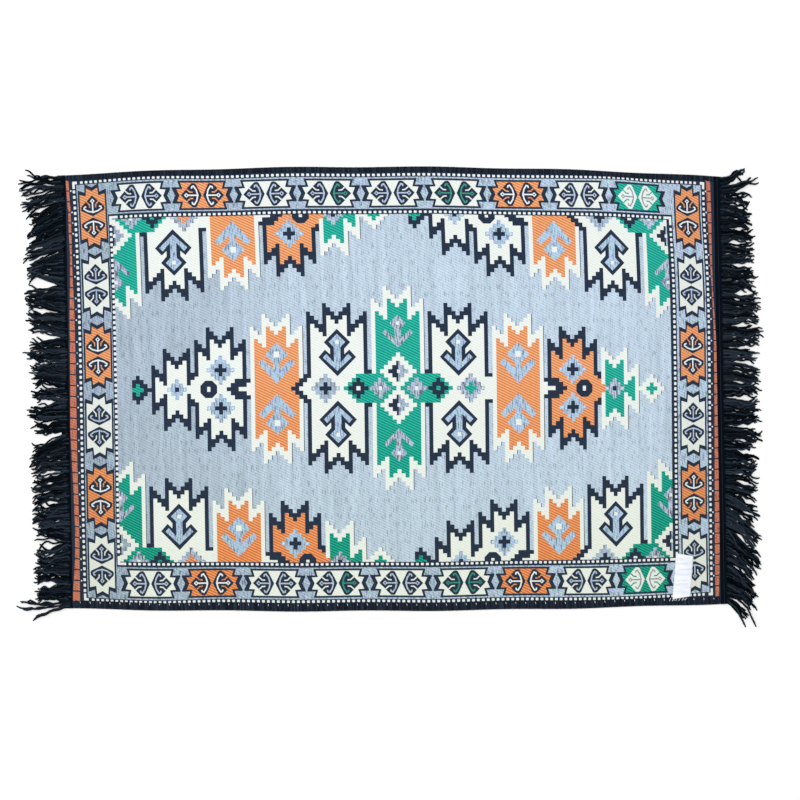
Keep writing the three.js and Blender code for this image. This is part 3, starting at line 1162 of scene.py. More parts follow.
def build_edge_shade():
    """A tint of painted shade that dulls the yarns at the ends and the front, and a share from 0 to 1 at the
    front.
    """
    outputs = {"Tint": COLOR, "Share": FLOAT}
    tree, given, made = effect("painted_edge_shade", "Place", {"Ends": 0.09, "Front": 0.04}, outputs)
    place = parts_of(tree, given["Place"])
    # Painted shade: the light falls off towards the ends and the front, and the front turns a little yellow.
    ends = ramp(tree, calc(tree, "ABSOLUTE", place["X"]), *SHADE_ENDS)
    front = ramp(tree, place["Y"], *SHADE_FRONT)
    front_shade = calc(tree, "MULTIPLY", front, given["Front"])
    dimming = calc(tree, "MULTIPLY_ADD", ends, given["Ends"], front_shade)
    red = calc(tree, "SUBTRACT", 1.0, dimming)
    blue = calc(tree, "SUBTRACT", red, calc(tree, "MULTIPLY", front_shade, SHADE_WARMTH))
    tree.links.new(vector(tree, red, red, blue), made["Tint"])
    tree.links.new(front, made["Share"])
    return tree


mottle_effect = build_mottle()
edge_shade_effect = build_edge_shade()
print("effects:", mottle_effect.name, edge_shade_effect.name)

# %% [markdown]
# Now each yarn gets its material. The table gives the dye, the colour that shows between the ribs,
# and how strongly the ribs, the flecks, the shade bands and the mottle show. Its last two columns
# say how much lighter the yarn is towards the right end and how much painted shade deepens it
# towards the front. Ribs are plain in the wide orange, green and blue grounds and weaker in the
# ivory and the navy. The navy and the blue of the border are the most mottled, because their wool
# was blended from several dyes.

# %% Materials of the woven yarns
YARN_COLUMNS = ("dye", "between", "ribs", "flecks", "bands", "mottle", "tilt", "front_shade_depth")
# The last column is how much painted shade darkens the yarn towards the front.
YARNS = {
    "navy": ((34, 49, 71), (19, 31, 47), 0.6, 0.0, 0.2, 0.6, 0.0, 0.0),
    "field blue": ((199, 215, 230), (167, 188, 207), 0.95, 0.36, 0.55, 0.12, 0.06, 0.04),
    "band blue": ((188, 206, 224), (147, 170, 194), 0.8, 0.55, 0.3, 0.55, 0.13, 0.04),
    "motif blue": ((184, 208, 230), (148, 176, 206), 0.7, 0.6, 0.2, 0.4, 0.05, 0.04),
    "grey blue": ((178, 195, 213), (142, 163, 187), 0.7, 0.6, 0.2, 0.45, 0.1, 0.04),
    "lilac": ((192, 204, 224), (150, 166, 194), 0.7, 0.75, 0.2, 0.5, 0.05, 0.04),
    "ivory": ((236, 241, 237), (217, 225, 219), 0.8, 0.06, 0.05, 0.1, 0.0, 0.1),
    "orange": ((245, 177, 122), (201, 115, 72), 0.95, 0.15, 0.12, 0.2, 0.0, 0.22),
    "strip orange": ((218, 134, 104), (173, 102, 82), 0.9, 0.45, 0.1, 0.45, 0.0, 0.0),
    "green": ((42, 192, 170), (3, 127, 114), 0.95, 0.15, 0.1, 0.25, 0.0, 0.3),
    "white": ((238, 243, 244), (220, 227, 230), 0.5, 0.08, 0.05, 0.12, 0.0, 0.1),
    "hook blue": ((188, 202, 224), (154, 172, 200), 0.5, 0.35, 0.04, 0.4, 0.0, 0.04),
    "hook green": ((66, 152, 134), (44, 128, 112), 0.5, 0.2, 0.04, 0.3, 0.0, 0.1),
    "hook grey": ((158, 164, 178), (128, 134, 152), 0.5, 0.5, 0.04, 0.3, 0.0, 0.0),
    "nub": ((214, 224, 236), (194, 208, 224), 0.3, 0.0, 0.02, 0.1, 0.0, 0.0),
}
RIB_PITCH = 4.55
RIB_SLANT = math.radians(25)
FINE_PITCH = 1.6
GRAIN = 0.16
DARKER_LOT = 0.13
RELIEF = 0.35 * MM
RIB_RELIEF = -0.6
FINE_RELIEF = 0.5


def linear(rgb, alpha=1.0):
    """An sRGB colour of 0 to 255 as the linear colour that sockets take."""
    parts = [c / 255 for c in rgb]
    return (*[c / 12.92 if c <= 0.04045 else ((c + 0.055) / 1.055) ** 2.4 for c in parts], alpha)


def shader_of(name, roughness, sheen=0.0, specular=0.25):
    """A new material, its tree and its shader, with what is the same all over set on the shader."""
    material = bpy.data.materials.new(name)
    material.use_nodes = True
    tree = material.node_tree
    shader = tree.nodes["Principled BSDF"]
    shader.inputs["Roughness"].default_value = roughness
    shader.inputs["Sheen Weight"].default_value = sheen
    shader.inputs["Specular IOR Level"].default_value = specular
    return material, tree, shader


def raised(tree, shader, height, strength, depth):
    """Raises the surface by its height times the depth."""
    bump = add(tree, "ShaderNodeBump", {"Height": height, "Strength": strength, "Distance": depth})
    tree.links.new(bump.outputs[0], shader.inputs["Normal"])


def yarn_material(name, dye, between, ribs, flecks, bands, mottle, tilt, front_shade_depth):
    """One dyed yarn as it looks when it is woven."""
    material, tree, shader = shader_of("yarn_" + name.replace(" ", "_"), roughness=0.92, sheen=0.1)
    uv = add(tree, "ShaderNodeUVMap", uv_map="square_cloth").outputs[0]
    place = vector_calc(tree, "SCALE", uv, 1 / MM)
    rib = placed(tree, ribs_effect, {"Place": place, "Pitch": RIB_PITCH, "Slant": RIB_SLANT})["Rib"]
    fleck = placed(tree, flecks_effect, {"Place": place, "Amount": flecks})["Fleck"]
    lot = DARKER_LOT if name == "field blue" else 0.0
    amounts = {"Place": place, "Band Amount": bands, "Grain Amount": GRAIN, "Lot Amount": lot, "Tilt": tilt}
    shade = placed(tree, shade_effect, amounts)["Shade"]
    tint = placed(tree, mottle_effect, {"Place": place, "Amount": mottle})["Tint"]
    fine = placed(tree, weave_effect, {"Place": place, "Pitch": FINE_PITCH})["Height"]
    edge_shade = placed(tree, edge_shade_effect, {"Place": place})
    colour = blend(tree, calc(tree, "MULTIPLY", rib, ribs), linear(dye), linear(between))
    dimmed = calc(tree, "MULTIPLY", shade, calc(tree, "SUBTRACT", 1.0, fleck))
    colour = vector_calc(tree, "SCALE", colour, dimmed)
    colour = vector_calc(tree, "MULTIPLY", colour, tint)
    # Painted shade: darker towards the ends and the front, and a gamma that deepens the colour at the front.
    colour = vector_calc(tree, "MULTIPLY", colour, edge_shade["Tint"])
    depth = calc(tree, "MULTIPLY_ADD", edge_shade["Share"], front_shade_depth, 1.0)
    front_shaded = add(tree, "ShaderNodeGamma", {"Color": colour, "Gamma": depth}).outputs[0]
    tree.links.new(front_shaded, shader.inputs["Base Color"])
    height = calc(tree, "MULTIPLY_ADD", rib, RIB_RELIEF, calc(tree, "MULTIPLY", fine, FINE_RELIEF))
    raised(tree, shader, height, strength=0.5, depth=RELIEF)
    return material


for name in cloth_slots:
    cloth.data.materials.append(yarn_material(name, **dict(zip(YARN_COLUMNS, YARNS[name]))))
print("yarn materials:", len(cloth.data.materials))

# %% [markdown]
# The long edges are overcast: a dark yarn is sewn over and over the side, one turn beside the
# other, so that the cloth cannot fray. More than a thousand turns are not set by hand. A node tree
# walks along a guide line laid on the edge, sets a turn at every step of the pitch, turns it a
# little, and gives each one its own small error and shade. The same few helpers serve all the
# trees: guide lines go in as a mesh of loose edges, and a plain mesh comes out.

# %% Growing a mesh on guide lines
INTEGER = "NodeSocketInt"
MATERIAL = "NodeSocketMaterial"
GEOMETRY = "NodeSocketGeometry"


def growth(name, sizes, counts):
    """A geometry tree with its sockets, the outputs of its input node, and its guide as curves."""
    tree = bpy.data.node_groups.new(name, "GeometryNodeTree")
    kinds = {"Guide": GEOMETRY, **dict.fromkeys(sizes, FLOAT), **dict.fromkeys(counts, INTEGER)}
    for label, kind in {**kinds, "Material": MATERIAL}.items():
        tree.interface.new_socket(label, in_out="INPUT", socket_type=kind)
    tree.interface.new_socket("Grown", in_out="OUTPUT", socket_type=GEOMETRY)
    given = tree.nodes.new("NodeGroupInput").outputs
    lines = add(tree, "GeometryNodeMeshToCurve", {"Mesh": given["Guide"]}).outputs[0]
    return tree, given, lines


def close_growth(tree, given, grown):
    """Ends a tree: smooth, with real faces instead of instances, and in the given material."""
    smooth = add(tree, "GeometryNodeSetShadeSmooth", {"Geometry": grown}).outputs[0]
    real = add(tree, "GeometryNodeRealizeInstances", {"Geometry": smooth}).outputs[0]
    dye = {"Geometry": real, "Material": given["Material"]}
    dyed = add(tree, "GeometryNodeSetMaterial", dye).outputs[0]
    tree.links.new(dyed, tree.nodes.new("NodeGroupOutput").inputs[0])
    return tree


def chance(tree, low, high, seed, number=0):
    """A random number for each point. number sets the draws of one tree apart."""
    feeds = {2: low, 3: high, 8: calc(tree, "ADD", seed, number)}
    return add(tree, "FunctionNodeRandomValue", feeds, data_type="FLOAT").outputs[1]


def stored(tree, geometry, label, value, domain, kind="FLOAT"):
    """The geometry with a named attribute that the shaders can read."""
    feeds = {"Geometry": geometry, "Name": label, "Value": value}
    return add(tree, "GeometryNodeStoreNamedAttribute", feeds, domain=domain, data_type=kind).outputs[0]


def yarn_along(tree, curve, thick, wide=1.0, sides=6, scale=1.0):
    """A closed yarn on a curve. It stores the run along it and the direction round it for the twist."""
    run = tree.nodes.new("GeometryNodeSplineParameter").outputs["Length"]
    curve = stored(tree, curve, "yarn_run", run, "POINT")
    circle = add(tree, "GeometryNodeCurvePrimitiveCircle", {"Resolution": sides, "Radius": 0.5}).outputs[0]
    way = tree.nodes.new("GeometryNodeInputPosition").outputs[0]
    circle = stored(tree, circle, "yarn_round", way, "POINT", "FLOAT_VECTOR")
    size = vector(tree, calc(tree, "MULTIPLY", thick, wide), thick, 1.0)
    profile = add(tree, "GeometryNodeTransform", {"Geometry": circle, "Scale": size}).outputs[0]
    feeds = {"Curve": curve, "Profile Curve": profile, "Scale": scale, "Fill Caps": True}
    return add(tree, "GeometryNodeCurveToMesh", feeds).outputs[0]


def grow(name, lines, tree, values):
    """The plain mesh that a tree grows on guide lines, each a list of points in metres."""
    starts = np.cumsum([0] + [len(line) for line in lines])
    edges = [(n, n + 1) for first, after in zip(starts, starts[1:]) for n in range(first, after - 1)]
    guide_mesh = bpy.data.meshes.new(name + "_guide")
    guide_mesh.from_pydata(np.vstack(lines).tolist(), edges, [])
    guide = bpy.data.objects.new(name + "_guide", guide_mesh)
    bpy.context.scene.collection.objects.link(guide)
    modifier = guide.modifiers.new("growth", "NODES")
    modifier.node_group = tree
    for item in tree.interface.items_tree:
        if item.in_out == "INPUT" and item.name in values:
            modifier[item.identifier] = values[item.name]
    seen = guide.evaluated_get(bpy.context.evaluated_depsgraph_get())
    mesh = bpy.data.meshes.new_from_object(seen)
    mesh.name = name
    mesh.materials.clear()
    mesh.materials.append(values["Material"])
    mesh.polygons.foreach_set("material_index", [0] * len(mesh.polygons))
    bpy.data.objects.remove(guide)
    bpy.data.meshes.remove(guide_mesh)
    return mesh


def bent(tree, steps, *points):
    """A curve from the first to the last of four (y, z) points, bent towards the two between."""
    labels = ("Start", "Start Handle", "End Handle", "End")
    ends = {label: vector(tree, y=y, z=z) for label, (y, z) in zip(labels, points)}
    return add(tree, "GeometryNodeCurvePrimitiveBezierSegment", {"Resolution": steps, **ends}).outputs[0]


def sewn_in_steps(tree, given, lines, curve, wide, angle, sway, lengths):
    """Ends a tree with a curved yarn at every step of the pitch, each with its own small error."""
    pace = {"Curve": lines, "Length": given["Pitch"]}
    steps = add(tree, "GeometryNodeResampleCurve", pace, mode="LENGTH").outputs[0]
    align = {"Vector": tree.nodes.new("GeometryNodeInputTangent").outputs[0]}
    along = add(tree, "FunctionNodeAlignRotationToVector", align, axis="X", pivot_axis="Z").outputs[0]
    lean = calc(tree, "ADD", angle, chance(tree, -sway, sway, given["Seed"]))
    turned = {"Rotation": along, "Rotate By": vector(tree, z=lean)}
    leaned = add(tree, "FunctionNodeRotateRotation", turned, rotation_space="LOCAL").outputs[0]
    sewn = yarn_along(tree, curve, given["Yarn"], wide)
    size = vector(tree, 1.0, chance(tree, *lengths, given["Seed"], 1), 1.0)
    set_out = {"Points": steps, "Instance": sewn, "Rotation": leaned, "Scale": size}
    stitches = add(tree, "GeometryNodeInstanceOnPoints", set_out).outputs[0]
    tone = chance(tree, 0.0, 1.0, given["Seed"], 2)
    return close_growth(tree, given, stored(tree, stitches, "yarn_tone", tone, "INSTANCE"))


print("growing helpers are ready")

# %% [markdown]
# One turn of the overcasting starts on top of the cloth, goes round its edge and ends below. That is
# a single bent curve, so the yarn is drawn along it once, and the tree sets copies side by side. The
# yarn is drawn a little wider than the pitch, so that no gap shows between two turns.

# %% A tree for overcast turns
TURN_STEPS = 11
TURN_SWAY = 0.05
TURN_REACH = (0.95, 1.04)
TURN_OVERLAP = 1.08


def build_overcast():
    """Turns of yarn round an edge. Guide lines run with the cloth on their left."""
    tree, given, lines = growth("overcast_turns", ("Pitch", "Reach", "Height", "Yarn", "Lean"), ("Seed",))
    half = calc(tree, "MULTIPLY", given["Yarn"], 0.5)
    top = calc(tree, "SUBTRACT", given["Height"], half)
    third = calc(tree, "DIVIDE", given["Reach"], 3)
    past = calc(tree, "SUBTRACT", calc(tree, "MULTIPLY", given["Yarn"], 2 / 3), third)
    turn = bent(tree, TURN_STEPS, (given["Reach"], top), (past, top), (past, half), (given["Reach"], half))
    wide = calc(tree, "MULTIPLY", calc(tree, "DIVIDE", given["Pitch"], given["Yarn"]), TURN_OVERLAP)
    return sewn_in_steps(tree, given, lines, turn, wide, given["Lean"], TURN_SWAY, TURN_REACH)


overcast_tree = build_overcast()
print("tree:", overcast_tree.name)

# %% [markdown]
# The edging, the headings and the fringe are of the same nearly black wool. Its yarn has two plies,
# so a shallow spiral runs round it: the trees store how far along the yarn and which way round it
# each point lies, and one shader effect makes the plies from that. A tone for each yarn keeps them
# apart, and in the fringe the lighter tones also stand for painted highlights on the strands. Wool
# this dark must hardly shine, or the studio light turns it grey.

# %% Dark wool
COLD_TINT = (0.6, 0.8, 1.0, 1.0)
FIBRE_SCALE = 900.0
FIBRE_RELIEF = 0.4


def build_two_plies():
    """Height of a yarn of two twisted plies. Run is metres along it, Round the way round it."""
    tree, given, made = effect("two_plies", "Round", {"Run": 0.0, "Lay": 0.008}, {"Height": FLOAT})
    parts = parts_of(tree, given["Round"])
    angle = calc(tree, "ARCTAN2", parts["Y"], parts["X"])
    turn = calc(tree, "MULTIPLY", calc(tree, "DIVIDE", given["Run"], given["Lay"]), math.pi)
    wave = calc(tree, "SINE", calc(tree, "ADD", angle, turn))
    tree.links.new(calc(tree, "ABSOLUTE", wave), made["Height"])
    return tree


two_plies = build_two_plies()


def stored_value(tree, name, output="Fac"):
    """What a growth tree stored under a name."""
    return add(tree, "ShaderNodeAttribute", attribute_name=name).outputs[output]


def twist(tree, lay):
    """Height of the two plies of a grown yarn."""
    run, way = stored_value(tree, "yarn_run"), stored_value(tree, "yarn_round", "Vector")
    return placed(tree, two_plies, {"Run": run, "Round": way, "Lay": lay})["Height"]


def dark_wool(name, dye, light, roughness, specular, lay):
    """Nearly black yarn whose shade changes from one yarn to the next, towards a lighter colour."""
    material, tree, shader = shader_of(name, roughness, specular=specular)
    tone = stored_value(tree, "yarn_tone")
    fibres = noise(tree, add(tree, "ShaderNodeTexCoord").outputs["Object"], FIBRE_SCALE)
    share = calc(tree, "MULTIPLY", calc(tree, "MULTIPLY", tone, tone), fibres)
    tree.links.new(blend(tree, share, linear(dye), linear(light)), shader.inputs["Base Color"])
    shader.inputs["Specular Tint"].default_value = COLD_TINT
    height = calc(tree, "MULTIPLY_ADD", fibres, FIBRE_RELIEF, twist(tree, lay))
    raised(tree, shader, height, strength=0.7, depth=0.4 * MM)
    return material


edging_wool = dark_wool("edging_wool", (21, 27, 37), (58, 70, 88), roughness=0.7, specular=0.08, lay=6 * MM)
# Painted highlight: the fringe's lighter colour stands for highlights on its strands as well as lighter
# yarns.
fringe_wool = dark_wool("fringe_wool", (0, 2, 6), (62, 75, 90), roughness=0.55, specular=0.05, lay=9 * MM)
print("wool:", edging_wool.name, fringe_wool.name)

# %% [markdown]
# The overcasting reaches further over the cloth on the label's side than on the other, so each edge
# has its own reach. Its guide line is laid like the cloth, and follows each wander of the side.

# %% Overcast long edges
TURN_SIZES = {"Pitch": 2.1 * MM, "Height": 3.2 * MM, "Yarn": 1.0 * MM, "Lean": 0.06}
EDGE_STOP = CLOTH_END - 1.4
EDGE_POINTS = 180


def make_edging(name, side, reach, seed):
    """One overcast edge on the side +1 (back) or -1 (front)."""
    u = np.linspace(side * EDGE_STOP, -side * EDGE_STOP, EDGE_POINTS)
    line = laid(u, np.full_like(u, side * HALF_WIDTH), 0.0)
    values = {**TURN_SIZES, "Reach": reach * MM, "Seed": seed, "Material": edging_wool}
    piece = put_on_scene(name, grow(name, [line], overcast_tree, values))
    print(name, len(piece.data.polygons), "faces")
    return piece


back_edging = make_edging("overcast_back", 1, EDGE_BACK, seed=11)
front_edging = make_edging("overcast_front", -1, EDGE_FRONT, seed=12)
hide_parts("edging_back")
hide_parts("edging_front")

# %% [markdown]
# Each end closes with a heading, a narrow band of dark weft packed hard, so it shows ribs that run
# along it. It is drawn as a section, a row of small round ribs, and the section is carried along the
# end of the rug. The warp comes out of its outer side as the fringe.

# %% Headings
HEADING_LOW = 0.15
HEADING_SHOULDER = 2.0
HEADING_TOP = 2.5
HEADING_RIB = 0.4
HEADING_RIBS = 7
HEADING_STEPS = 150
RIB_STEPS = 6
RIBS_IN = 0.35
FOOT_IN = 0.6
HEADING_SHORT = 0.2


def heading_section():
    """Distances from the heading's outer edge and heights of its closed section, in millimetres."""
    shares = np.linspace(0, 1, HEADING_RIBS * RIB_STEPS + 1)
    across = RIBS_IN + shares * (HEADING - 2 * RIBS_IN)
    rise = HEADING_TOP + HEADING_RIB * np.abs(np.sin(np.pi * shares * HEADING_RIBS))
    inward = np.concatenate([[0], across, [HEADING, HEADING, HEADING - FOOT_IN, FOOT_IN, 0]])
    low = HEADING_LOW * 3
    foot = [HEADING_SHOULDER, low, HEADING_LOW, HEADING_LOW, low]
    height = np.concatenate([[HEADING_SHOULDER], rise, foot])
    return inward, height


def make_heading(name, side):
    """A ribbed band along one end, closed at both of its own ends."""
    inward, height = heading_section()
    count = len(inward)
    half = HALF_WIDTH - HEADING_SHORT
    steps = np.linspace(-half, half, HEADING_STEPS)
    rows = [laid(side * (HALF_LENGTH - inward), v, height * MM) for v in steps]
    faces = []
    for row in range(HEADING_STEPS - 1):
        for n in range(count):
            a, b = row * count + n, row * count + (n + 1) % count
            faces.append((a, b, b + count, a + count))
    last = (HEADING_STEPS - 1) * count
    faces.append(tuple(range(count - 1, -1, -1)))
    faces.append(tuple(range(last, last + count)))
    if side < 0:
        faces = [face[::-1] for face in faces]
    mesh = bpy.data.meshes.new(name)
    mesh.from_pydata(np.vstack(rows).tolist(), [], faces)
    mesh.polygons.foreach_set("use_smooth", [True] * len(faces))
    mesh.materials.append(heading_wool)
    return put_on_scene(name, mesh)


heading_wool = dark_wool("heading_wool", (6, 12, 22), (20, 30, 46), roughness=0.8, specular=0.06, lay=6 * MM)
headings = {side: make_heading("heading_" + place, side) for side, place in ((-1, "left"), (1, "right"))}
print("headings:", [len(piece.data.polygons) for piece in headings.values()], "faces")

# %% [markdown]
# The fringe lies in tufts, as the yarns fell when the rug was unrolled. A short table has a row for
# every tuft: where it leaves the heading, where its tip lies, both measured down the end from the
# back corner, and how far it reaches. Yarns leave the heading side by side. Each one joins the
# nearest tuft, draws in to its narrow middle, spreads again to the tip, and keeps a seeded stray
# and curl of its own.

# %% Tufts of the fringe
TUFT_COLUMNS = ("first", "last", "tip_first", "tip_last", "long")
TUFTS = {
    -1: [
        (2, 22, -2, 33, 66), (26, 46, 40, 71, 66), (51, 103, 78, 127, 53), (107, 136, 132, 156, 59),
        (141, 199, 161, 183, 53), (204, 249, 209, 237, 62), (254, 288, 250, 279, 57),
        (304, 319, 306, 318, 53), (323, 338, 326, 334, 64), (343, 378, 343, 378, 53),
        (394, 411, 394, 405, 50), (416, 445, 424, 447, 57), (450, 468, 457, 473, 51),
        (473, 537, 501, 541, 55), (542, 593, 550, 602, 53), (597, 659, 609, 659, 51),
        (683, 737, 686, 739, 51), (754, 776, 754, 772, 51), (780, 780, 784, 784, 96),
        (784, 784, 794, 794, 80), (788, 788, 811, 811, 65),
    ],
    1: [
        (3, 15, -14, -5, 39), (20, 27, 1, 14, 62), (31, 46, 28, 53, 51), (51, 93, 60, 92, 50),
        (97, 118, 98, 115, 55), (122, 158, 128, 158, 53), (163, 209, 168, 208, 59),
        (214, 268, 220, 265, 62), (272, 309, 274, 306, 66), (314, 334, 318, 332, 59),
        (341, 351, 349, 358, 62), (356, 401, 364, 400, 62), (405, 453, 408, 450, 61),
        (458, 476, 463, 478, 61), (481, 494, 487, 500, 53), (499, 552, 508, 553, 55),
        (557, 574, 566, 594, 53), (579, 607, 602, 642, 55), (612, 638, 650, 677, 57),
        (643, 702, 688, 733, 55), (707, 763, 741, 788, 50), (768, 780, 797, 820, 33),
    ],
}
YARN_SPACING = 1.45
YARN_POINTS = 21
FRINGE_YARN = 2.2
FRINGE_LEVELS = (1.2, 4.6)
FRINGE_NECK = 0.86
STRAY_SHARE = 0.16
STRAY_REACH = 13.0
SHARE_ERROR = 0.06
SWAY = {"size": (0.8, 2.6), "turns": (5, 9)}
CURL = {"size": (0.4, 3.4), "turns": (9, 19)}
TIP_ERROR = 3.6
LONG_SHARE = (0.9, 0.12)
LONG_MOST = 1.1
YARN_START = {-1: 11.0, 1: 2.5}
START_SHARE = (0.6, 1.25)
HEADING_RIDE = 3.0
HEADING_PAST = 1.5
HEADING_SLOPE = 4.0
ARCH_SHARE = 0.9
ARCH_ROUND = 0.6
DRAWN_LATE = 1.4
NECK_LATE = 1.7
CORNER_FREE = 2.0
ROOT_ERROR = 0.5
FULL_TURN = 6.28
FRINGE_SEED = 40


def tuft_rows(side, length, draw):
    """The tufts as dictionaries, each with the places down the end where its yarns leave."""
    tufts = [dict(zip(TUFT_COLUMNS, row), roots=[]) for row in TUFTS[side]]
    for n in range(round((length - 2 * CORNER_FREE) / YARN_SPACING)):
        root = CORNER_FREE + (n + 0.5) * YARN_SPACING
        nearest = min(tufts, key=lambda t: max(t["first"] - root, root - t["last"], 0))
        nearest["roots"].append(root + draw.uniform(-ROOT_ERROR, ROOT_ERROR))
    for tuft in tufts:
        tuft["roots"] = tuft["roots"] or [tuft["first"]]
    return tufts


def yarn_height(t, reach, level):
    """How high a yarn lies: over the heading, up to its own level and down again to its tip."""
    ground = FRINGE_LEVELS[0]
    rise = np.sin(np.pi * t * ARCH_SHARE) ** ARCH_ROUND
    riding = np.clip((HEADING_PAST - reach) / HEADING_SLOPE, 0, 1)
    return np.maximum(ground + (level - ground) * rise, ground + (HEADING_RIDE - ground) * riding)


def yarn_lines(side):
    """The lines of all yarns of one end, in metres."""
    draw = random.Random(FRINGE_SEED + side)
    corners = laid(side * HALF_LENGTH, np.array([HALF_WIDTH, -HALF_WIDTH]), 0.0)[:, :2] / MM
    length = np.linalg.norm(corners[1] - corners[0])
    down = (corners[1] - corners[0]) / length
    t = np.linspace(0, 1, YARN_POINTS)
    neck = 1 - (1 - FRINGE_NECK) * np.sin(np.pi * t**NECK_LATE) ** 2
    lines = []
    for tuft in tuft_rows(side, length, draw):
        middle = (tuft["tip_first"] + tuft["tip_last"]) / 2
        wide = tuft["tip_last"] - tuft["tip_first"] + 2
        centre = sum(tuft["roots"]) / len(tuft["roots"])
        drift = centre + (middle - centre) * t**DRAWN_LATE
        sway = draw.uniform(0, FULL_TURN)
        bend, beat = draw.uniform(*SWAY["size"]), draw.uniform(*SWAY["turns"])
        for n, root in enumerate(tuft["roots"]):
            share = (n + 0.5) / len(tuft["roots"]) - 0.5 + draw.gauss(0, SHARE_ERROR)
            tip = middle + share * wide
            if draw.random() < STRAY_SHARE:
                tip += draw.gauss(0, STRAY_REACH)
            across = drift + (root + (tip - root) * t**DRAWN_LATE - drift) * neck
            across += bend * t * np.sin(sway + draw.gauss(0, 0.5) + beat * t)
            size, phase = draw.uniform(*CURL["size"]), draw.uniform(0, FULL_TURN)
            across += size * t**0.7 * np.sin(phase + draw.uniform(*CURL["turns"]) * t)
            across += draw.gauss(0, TIP_ERROR) * np.clip((t - 0.6) / 0.4, 0, 1) ** 2
            long = tuft["long"] * min(draw.gauss(*LONG_SHARE), LONG_MOST)
            start = YARN_START[side] * draw.uniform(*START_SHARE)
            reach = (long + start) * t - start
            height = yarn_height(t, reach, draw.uniform(*FRINGE_LEVELS))
            spots = corners[0] + np.outer(across, down) + np.outer(reach, [side, 0])
            lines.append(np.column_stack([spots, height]) * MM)
    return lines


fringe_lines = {side: yarn_lines(side) for side in (-1, 1)}
print("yarns:", {side: len(lines) for side, lines in fringe_lines.items()})

# %% [markdown]
# Every yarn of the fringe is a guide line of its own. The tree rounds the line, lets it wave more
# towards its free end, and draws a slightly flat yarn along it that thins at its cut end.

# %% A tree for loose yarns
LOOSE_SIZES = {"Yarn": FRINGE_YARN * MM, "Wide": 1.6, "Tip": 0.62, "Wave": 7.0 * MM, "Steps": 22, "Seed": 21}
WAVE_SCALE = 110.0
THIN_FROM = 0.9


def build_loose_yarns():
    """A yarn on each guide line: it waves more towards its tip, and its cut end is thinner."""
    tree, given, lines = growth("loose_yarns", ("Yarn", "Wide", "Tip", "Wave"), ("Steps", "Seed"))
    soft = add(tree, "GeometryNodeCurveSplineType", {"Curve": lines}, spline_type="CATMULL_ROM").outputs[0]
    pace = {"Curve": soft, "Count": given["Steps"]}
    even = add(tree, "GeometryNodeResampleCurve", pace, mode="COUNT").outputs[0]
    factor = tree.nodes.new("GeometryNodeSplineParameter").outputs["Factor"]
    place = tree.nodes.new("GeometryNodeInputPosition").outputs[0]
    share = calc(tree, "MULTIPLY", factor, given["Wave"])
    push = calc(tree, "MULTIPLY", calc(tree, "SUBTRACT", noise(tree, place, WAVE_SCALE, 1.0), 0.5), share)
    shifted = {"Geometry": even, "Offset": vector(tree, y=push)}
    waved = add(tree, "GeometryNodeSetPosition", shifted).outputs[0]
    number = tree.nodes.new("GeometryNodeInputIndex").outputs[0]
    draw = {2: 0.0, 3: 1.0, 7: number, 8: given["Seed"]}
    tone = add(tree, "FunctionNodeRandomValue", draw, data_type="FLOAT").outputs[1]
    level = add(tree, "GeometryNodeSetCurveNormal", {"Curve": waved}, mode="Z_UP").outputs[0]
    toned = stored(tree, level, "yarn_tone", tone, "CURVE")
    thin = ramp(tree, factor, THIN_FROM, 1.0, 1.0, given["Tip"])
    yarns = yarn_along(tree, toned, given["Yarn"], given["Wide"], sides=5, scale=thin)
    return close_growth(tree, given, yarns)


loose_tree = build_loose_yarns()
for side, place in ((-1, "left"), (1, "right")):
    name = "fringe_yarns_" + place
    mesh = grow(name, fringe_lines[side], loose_tree, {**LOOSE_SIZES, "Material": fringe_wool})
    put_on_scene(name, mesh)
    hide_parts("fringe_" + place)

# %% [markdown]
# The care label is a piece of white satin tape, left blank. Its sewn end is cut askew and lies
# partly on the front edging. The rest lies loose on the border, so it is a little buckled: cross
# creases and one soft bulge are raised in its own mesh. The satin shows fine threads across it, and
# faint blue-grey bands painted across it as the shade of its buckles.

# %% Care label
LABEL_AT = 530.0
LABEL_WIDTH = 32.0
LABEL_LONG = (81.6, 75.8)
LABEL_SLANT = 0.077
LABEL_THICK = 0.5
LABEL_ON_EDGE = 2.4
LABEL_FOOT_RISE = 5.0
LABEL_ROWS = 64
LABEL_COLUMNS = 14
SATIN = (240, 243, 248)
SATIN_PAINTED_SHADE = (208, 217, 233)
SATIN_BANDS = (26.0, 150.0, 1.0)
SHADE_BAND_RAMP = (0.42, 0.72)
SATIN_THREADS = 700.0
LABEL_LIES = 2.55
LABEL_LOWEST = 2.5
LABEL_BULGE = (0.5, 1.1, 0.2)
CREASES = [(0.9, 0.5, 0.02), (0.84, -0.35, 0.015), (0.79, 0.45, 0.02), (0.66, -0.3, 0.03), (0.34, 0.5, 0.04)]
CREASE_SLANT = 0.03
EDGE_RISE = 0.85
USUAL_LONG = 78.0
EDGE_SHARE = LABEL_ON_EDGE / USUAL_LONG
EDGE_SOFT = 0.04


def fold(along, place, size, width):
    """The height of a soft fold across the tape."""
    return size * np.exp(-(((along - place) / width) ** 2))


def label_height(across, along):
    """Height of the tape's underside. across runs from 0 to 1, along from 0 at the sewn end."""
    height = LABEL_LIES + fold(along, *LABEL_BULGE) * np.sin(np.pi * across) ** 0.8
    for place, size, width in CREASES:
        height += fold(along, place + CREASE_SLANT * (across - 0.5), size, width) * (0.6 + 0.4 * across)
    on_edge = np.clip((EDGE_SHARE - along) / EDGE_SOFT + 1, 0, 1)
    return np.maximum(height, LABEL_LOWEST) + EDGE_RISE * on_edge**2 * (3 - 2 * on_edge)


